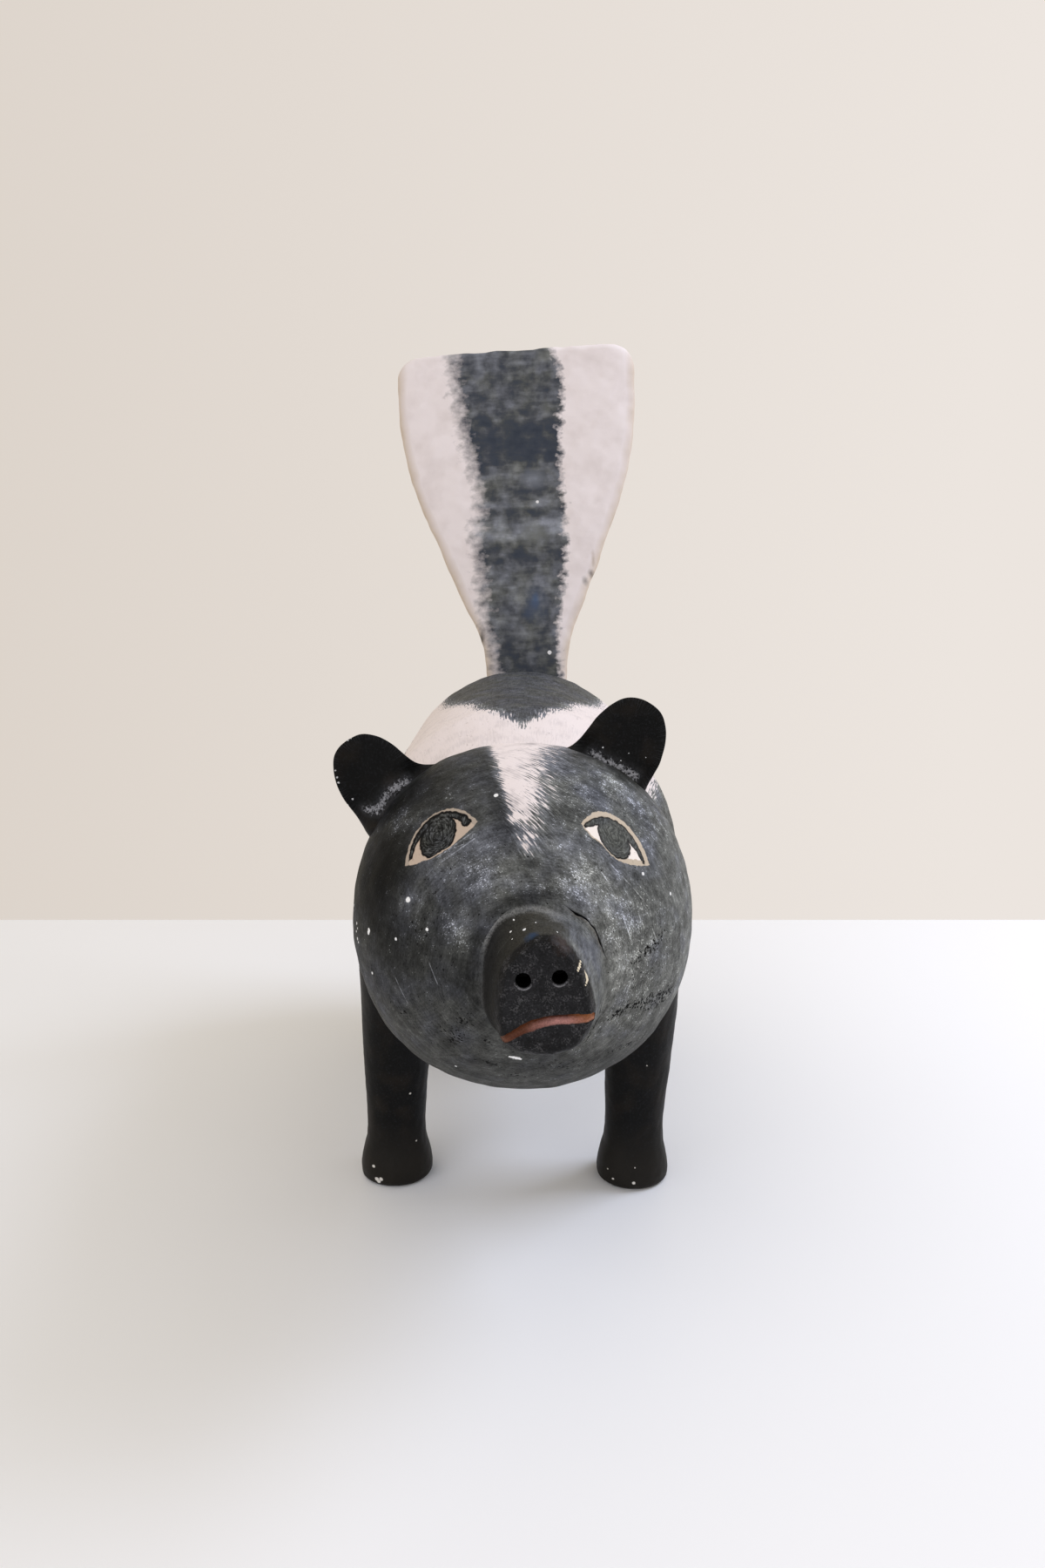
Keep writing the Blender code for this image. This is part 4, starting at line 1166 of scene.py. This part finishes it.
def muzzleSide(add, place, colour, rough, speckle):
    # dark umber over the muzzle's side, partly painted shade that is deepest on the skunk's right, away
    # from the light, and the pale worn ring round its root
    side, ring, ringEnds = parts(add, "side")
    dark = add("MapRange", add("Math MULTIPLY_ADD", rough, 0.8, side), 0.70, 1.30, 0.0, 0.9)
    deep = add("MapRange", add("SeparateXYZ", place).outputs["X"], -12.0, 4.0, 1.0, 0.0)
    umberAndShade = add("Mix RGBA", deep, muzzlePaint["umberAndShade"], muzzlePaint["umberDeepShade"])
    umberAndShade = add("VectorMath SCALE", umberAndShade, add("MapRange", speckle, 0.35, 0.7, 0.6, 1.7))
    ring = add("Math MULTIPLY_ADD", rough, -1.8, add("Math ABSOLUTE", ring))
    ring = add("MapRange", ring, -0.9, 0.7, 1.0, 0.0)
    for limit in (ringEnds, add("MapRange", speckle, 0.38, 0.60, 0.15, 0.85)):
        ring = add("Math MULTIPLY", ring, limit)
    for mask, tone in ((dark, umberAndShade), (ring, muzzlePaint["ring"])):
        colour = add("Mix RGBA", mask, colour, tone)
    return colour


def muzzleTip(add, place, colour, rough, speckle):
    # satin black, worn in fine flecks and darker at its foot and rim, with two painted reflections on its
    # top edge, and its mask
    zone = add("Attribute zone").outputs["Fac"]
    tip = add("Math MULTIPLY_ADD", rough, 0.35, zone)
    tip = add("MapRange", tip, *muzzlePaint["tipEnd"], 1.0, 0.0)
    worn = add("MapRange", add("TexNoise", place, 0.33, 4.0, 0.65), 0.35, 0.75, 0.65, 1.6)
    low = add("SeparateXYZ", place).outputs["Z"]
    for value, *limits in ((speckle, 0.35, 0.75, 0.55, 1.9), (zone, 0.92, 1.25, 1.0, 0.55),
                           (low, -20.0, -12.0, 0.62, 1.0)):
        worn = add("Math MULTIPLY", worn, add("MapRange", value, *limits))
    black = add("VectorMath SCALE", muzzlePaint["tip"], worn)
    flecks = add("Math MULTIPLY_ADD", add("TexNoise", place, 0.25, 2.0), 0.7, speckle)
    flecks = add("MapRange", flecks, 0.90, 1.10, 0.0, 0.55)
    black = add("Mix RGBA", flecks, black, muzzlePaint["tipFleck"])
    colour = add("Mix RGBA", tip, colour, black)
    # painted reflections: a blue and a brown glint on the tip's top edge
    for middle, radius, code in muzzlePaint["smearsAndReflections"]:
        off = add("VectorMath DISTANCE", place, middle)
        off = add("Math MULTIPLY_ADD", rough, radius, off)
        mask = add("MapRange", off, radius * 0.6, radius * 1.7, 0.7, 0.0)
        colour = add("Mix RGBA", mask, colour, code)
    return colour, tip


def paintedMouth(add, colour, rough, speckle):
    # pink in the groove as painted light on its lower wall, a dark painted shade along its upper edge,
    # and browner towards both ends
    groove, above, along = parts(add, "mouth")
    mouth = muzzlePaint["mouthInside"]
    above = add("Math MULTIPLY_ADD", rough, 1.2, above)
    for value, limits, code in (
        (above, (-0.5, 1.5), "mouthShadedEdge"),
        (along, (0.05, 0.30, 0.8, 0.0), "mouthNear"),
        (along, (0.44, 0.80, 0.0, 0.9), "mouthFar"),
    ):
        mouth = add("Mix RGBA", add("MapRange", value, *limits), mouth, muzzlePaint[code])
    mouth = add("VectorMath SCALE", mouth, add("MapRange", speckle, 0.35, 0.7, 0.75, 1.3))
    return add("Mix RGBA", add("MapRange", groove, 0.92, 1.12, 1.0, 0.0), colour, mouth)


def paintedMuzzle(add, place):
    # the head's paint runs on over the collar, and the tip is dipped in satin black
    colour, height = headLayers(add, place)
    rough, speckle = add("TexNoise", place, 0.8, 3.0), add("TexNoise", place, 1.5, 3.0, 0.7)
    colour = muzzleSide(add, place, colour, rough, speckle)
    colour, tip = muzzleTip(add, place, colour, rough, speckle)
    colour = paintedMouth(add, colour, rough, speckle)
    beside, lower, hole = parts(add, "nostril")
    rim = add("Math ABSOLUTE", add("Math SUBTRACT", beside, 0.2))
    rim = add("MapRange", rim, 0.12, 0.5, 0.9, 0.0)
    lower = add("Math MULTIPLY_ADD", speckle, 3.0, lower)
    rim = add("Math MULTIPLY", rim, add("MapRange", lower, 1.7, 2.7))
    crack, across, ends = parts(add, "crack")
    lip = add("Math ABSOLUTE", add("Math ADD", across, 0.65))
    lip = add("Math MULTIPLY", add("MapRange", lip, 0.05, 0.35, 0.4, 0.0), ends)
    hole, crack = add("MapRange", hole, 0.02, 0.15), add("MapRange", crack, 0.0, 0.35)
    # the crack is painted black as the shade inside it
    for mask, code in ((rim, "rim"), (hole, "hole"), (lip, "lip"), (crack, "hole")):
        colour = add("Mix RGBA", mask, colour, muzzlePaint[code])
    colour = splashed(add, place, colour, muzzleSplashes, whitePaint["drip"])
    colour = splashed(add, place, colour, muzzleChips, muzzlePaint["chip"])
    roughness = add("MapRange", tip, 0.0, 1.0, blackPaint["roughness"], muzzlePaint["tipRoughness"])
    return colour, roughness, blackPaint["specular"], height


satinBlack = {  # oil-bound black on the ears and legs: deep, with a low sheen
    "black": "#070707",
    "brown": "#1b1611",
    "cloudSize": 13.0,
    "worn": "#2b2c30",
    # paler and browner on the foot: a painted highlight
    "foot": "#221f1b",
    "footHighlightFade": (20.0, 44.0),  # heights above the floor where the foot's painted highlight fades out
    "legDrip": "#d6d2cc",
    "rim": "#4b4c50",
    "fillerHaze": "#3f4044",
    "filler": "#9c9ca1",
    "earDrip": "#c9c9cb",
    "roughness": 0.50,
    "specular": 0.12,
}
earSplashes = (
    (-81.1, 0, 67.2, 0.4), (-80.4, 0, 64.1, 0.45), (-79.9, 0, 61.8, 0.5), (-73.9, 0, 81.3, 0.3),
    (-75.2, 0, 80.4, 0.35), (-74.2, 0, 54.1, 0.45), (-76.6, 0, 51.4, 0.45), (35.0, 0, 76.5, 0.4),
    (46.4, 0, 73.9, 0.25), (43.0, 0, 70.7, 0.25), (53.7, 0, 72.2, 0.25),
)
legSplashes = (
    (-58.8, 0, -117.8, 0.55), (-56.3, 0, -145.8, 0.35), (-78.7, 0, -158.4, 0.8),
    (-77.0, 0, -164.9, 1.15), (-76.0, 0, -166.1, 1.1), (-74.7, 0, -164.5, 1.1), (64.1, 0, -99.2, 0.4),
    (45.1, 0, -159.7, 0.35), (47.7, 0, -163.8, 0.6), (58.3, 0, -164.2, 0.9), (58.9, 0, -156.1, 0.35),
)


def satinGround(add, place):
    # black with faint brown clouds, its height, and its grain
    cloud = add("TexNoise", place, 1 / satinBlack["cloudSize"], 3.0)
    cloud = add("MapRange", cloud, 0.47, 0.70, 0.0, 0.85)
    colour = add("Mix RGBA", cloud, satinBlack["black"], satinBlack["brown"])
    grain = add("TexNoise", place, 0.9, 4.0, 0.7)
    colour = add("Mix RGBA", add("MapRange", grain, 0.52, 0.78, 0.0, 0.6), colour, satinBlack["worn"])
    return colour, add("Math MULTIPLY", grain, 0.10), grain


def satinFinish(add, place, colour, height, splashes, code):
    # drips of white by their X and Z alone, and the sheen
    flat = add("VectorMath MULTIPLY", place, (1.0, 0.0, 1.0))
    colour = splashed(add, flat, colour, splashes, code)
    return colour, satinBlack["roughness"], satinBlack["specular"], height


def blackLeg(add, place):
    # satin black over a smoothed post, paler and browner on the foot as a painted highlight, with drips
    # of white
    colour, height, grain = satinGround(add, place)
    above = add("SeparateXYZ", place).outputs["Z"]
    above = add("Math MULTIPLY_ADD", grain, 14.0, above)
    low, high = satinBlack["footHighlightFade"]
    mask = add("MapRange", above, low - axisHeight, high - axisHeight, 0.75, 0.0)
    colour = add("Mix RGBA", mask, colour, satinBlack["foot"])
    return satinFinish(add, place, colour, height, legSplashes, satinBlack["legDrip"])


def blackEar(add, place):
    # satin black, cut in fine hatches along the rim, rubbed white on the rough filler at the root
    colour, height, grain = satinGround(add, place)
    leaf, filler, rim = parts(add, "leaf")
    hatch = add("CombineXYZ", add("Math MULTIPLY", leaf, 1.5), 0.0, 0.0)
    hatch = add("MapRange", add("TexNoise", hatch, 1.0, 1.0), 0.50, 0.64)
    rim = add("MapRange", add("Math MULTIPLY_ADD", grain, 6.0, rim), 4.0, 7.0, 0.25, 0.0)
    hatch = add("Math MULTIPLY", hatch, rim)
    stroke = add("TexNoise", place, 0.8, 3.0, 0.65, None, 0.4)
    haze = add("Math MULTIPLY", filler, add("MapRange", stroke, 0.35, 0.60, 0.1, 0.9))
    white = add("Math MULTIPLY_ADD", filler, 0.46, stroke)
    white = add("MapRange", white, 0.84, 1.00, 0.0, 0.9)
    for mask, code in ((hatch, "rim"), (haze, "fillerHaze"), (white, "filler")):
        colour = add("Mix RGBA", mask, colour, satinBlack[code])
    height = add("Math MULTIPLY_ADD", hatch, 0.15, height)
    height = add("Math MULTIPLY_ADD", filler, add("Math MULTIPLY", stroke, 0.9), height)
    return satinFinish(add, place, colour, height, earSplashes, satinBlack["earDrip"])


def paintedTail(add, place):
    # white paint, then a black stripe dabbed across in short level strokes
    band, fromSide, soft = parts(add, "coat")
    board = add("Attribute board").outputs["Vector"]
    soil = add("TexNoise", place, 1 / tail["soilSize"], 3.0)
    colour = add("Mix RGBA", add("MapRange", soil, 0.45, 0.75), tail["clean"], tail["soiled"])
    # tan and darker towards the rounded sides: painted bounce light and painted shade
    edge = add("Math MULTIPLY_ADD", soil, 6.0, fromSide)
    colour = add("Mix RGBA", add("MapRange", edge, 3.0, 10.0, 0.9, 0.0), colour, tail["edgeBounceAndShade"])
    dabs = add("TexNoise", add("VectorMath MULTIPLY", board, tail["dabStretch"]), 1.0, 4.0, 0.55)
    tufts = add("TexNoise", add("VectorMath MULTIPLY", board, tail["tuftStretch"]), 1.0, 3.0, 0.55)
    blotch = add("TexNoise", place, 1 / tail["blotchSize"], 4.0)
    grey = add("Math MULTIPLY_ADD", dabs, tail["dabGrey"], band)
    grey = add("Math MULTIPLY_ADD", blotch, tail["blotchGrey"], grey)
    grey = add("Math SUBTRACT", grey, (tail["dabGrey"] + tail["blotchGrey"]) / 2)
    inside = add("Math MULTIPLY_ADD", tufts, tail["tufts"], add("Attribute stripe").outputs["Fac"])
    inside = add("Math SUBTRACT", inside, tail["tufts"] / 2)
    mask = add("MapRange", add("Math DIVIDE", inside, soft), -1.0, 1.0)
    slate = add("MapRange", grey, 0.24, 0.36, 0.6, 0.0)
    black = add("Mix RGBA", slate, greyPaint(add, place, grey), tail["slate"])
    colour = add("Mix RGBA", mask, colour, black)
    height = add("Math MULTIPLY_ADD", dabs, 0.12, add("Math MULTIPLY", mask, 0.05))
    flat = add("VectorMath MULTIPLY", board, (1.0, 0.0, 1.0))
    for x, z, wide, high, code in tail["smearsAndReflections"]:
        off = add("VectorMath SUBTRACT", flat, (x, 0.0, z))
        off = add("VectorMath MULTIPLY", off, (1 / wide, 0.0, 1 / high))
        off = add("Math MULTIPLY_ADD", blotch, 1.8, add("VectorMath LENGTH", off))
        colour = add("Mix RGBA", add("MapRange", off, 0.9, 2.0, 0.75, 0.0), colour, code)
    colour = splashed(add, flat, colour, tail["drips"], tail["drip"])
    return colour, whitePaint["roughness"], blackPaint["specular"], height


woodPaint = finished("rubbedPaintOnWood", paintedWood)
muzzleFinish = finished("satinPaintOnMuzzle", paintedMuzzle)
earPaint, legPaint = finished("satinBlackOnEars", blackEar), finished("satinBlackOnLegs", blackLeg)
tailPaint = finished("brushedWhiteOnTail", paintedTail)
logPoints = logSurface()
makePiece("carvedLog", logPoints, woodPaint, "body", headFields(logPoints))
muzzlePoints, muzzleFields = muzzleSurface()
makePiece("carvedMuzzle", muzzlePoints, muzzleFinish, "muzzle", muzzleFields)
for name, ear in ears.items():
    points, fields = earSurface(ear)
    makePiece(name, points, earPaint, ear["node"], fields)
for name, leg in legs.items():
    makePiece(name, legSurface(leg), legPaint, leg["node"], {})
points, fields = tailSurface()
makePiece("tailBoard", points, tailPaint, "tail", fields)


# Camera, floor and light

view = {
    "lens": 27.0,
    "sensor": 36.0,
    "front": 506.0,  # how far the camera is in front of the head's middle, and above it
    "above": 157.7,
    "down": 10.9,  # in degrees
}


def makeCamera():
    cameraData = bpy.data.cameras.new("camera")
    cameraData.lens = view["lens"]
    cameraData.sensor_width = view["sensor"]
    camera = addObject("camera", cameraData)
    camera.location = headPlace + np.array((0, -view["front"], view["above"])) / 1000
    camera.rotation_euler = (math.radians(90 - view["down"]), 0, 0)
    bpy.context.scene.camera = camera


studio = {
    "board": "#f1f1f3",  # a pale painted board
    "boardRoughness": 0.6,
    "boardReach": 6.0,  # in metres from the part's own origin, as its back edge is
    "boardBack": 0.402,
    "backdrop": ("#dcd3ca", "#ece5df"),  # its colours at the two sides
    "roomFront": ("#f2f0ee", 0.84),  # colour and strength of the room's light
    "roomBack": ("#f3e4c8", 0.80),
    "lamps": {  # place from the head, size, watts and colour
        "window": ((1.0, 0.40, 0.95), 0.7, 12.0, "#dce7ff"),
        "fill": ((-0.7, -0.9, 0.9), 1.2, 5.0, "#f2f4ff"),
    },
}


def paleBoard():
    # painted board: smooth and matt
    material, add = newMaterial("paintedBoard")
    add("OutputMaterial", add("BsdfPrincipled", studio["board"], Roughness=studio["boardRoughness"]))
    return material


def makeStudio():
    # a flat board under the feet, and two square lamps that look at the head
    reach, back, low = studio["boardReach"], studio["boardBack"], -0.0001
    mesh = bpy.data.meshes.new("board")
    corners = [(-reach, -reach, low), (reach, -reach, low), (reach, back, low), (-reach, back, low)]
    mesh.from_pydata(corners, [], [(0, 1, 2, 3)])
    mesh.materials.append(paleBoard())
    board = addObject("board", mesh)
    for name, (place, size, watts, colour) in studio["lamps"].items():
        lampData = bpy.data.lights.new(name, "AREA")
        lampData.size = size
        lampData.energy = watts
        lampData.color = paint(colour)[:3]
        lamp = addObject(name, lampData)
        lamp.location = headPlace + np.array(place)
        toHead = Vector(place) * -1
        lamp.rotation_euler = toHead.to_track_quat("-Z", "Y").to_euler()


def makeRoom():
    # the backdrop is plain to the eye, and as light it is brighter behind the skunk than in front
    world = bpy.data.worlds.new("room")
    bpy.context.scene.world = world
    world.use_nodes = True
    world.node_tree.nodes.clear()
    add = partial(addNode, world.node_tree)
    x, y, _ = add("SeparateXYZ", add("TexCoord").outputs["Generated"]).outputs
    (frontCode, frontStrength), (backCode, backStrength) = studio["roomFront"], studio["roomBack"]
    behind = add("MapRange", y, -0.6, 0.8)
    strength = add("MapRange", behind, 0.0, 1.0, frontStrength, backStrength)
    light = add("Background", add("Mix RGBA", behind, frontCode, backCode), strength)
    plain = add("Mix RGBA", add("MapRange", x, -0.45, 0.35), *studio["backdrop"])
    seen = add("LightPath").outputs["Is Camera Ray"]
    add("OutputWorld", add("MixShader", seen, light, add("Background", plain, 1.0)))


makeCamera()
makeStudio()
makeRoom()
bpy.context.scene.view_settings.view_transform = "Standard"
print("camera, board and lamps are set")
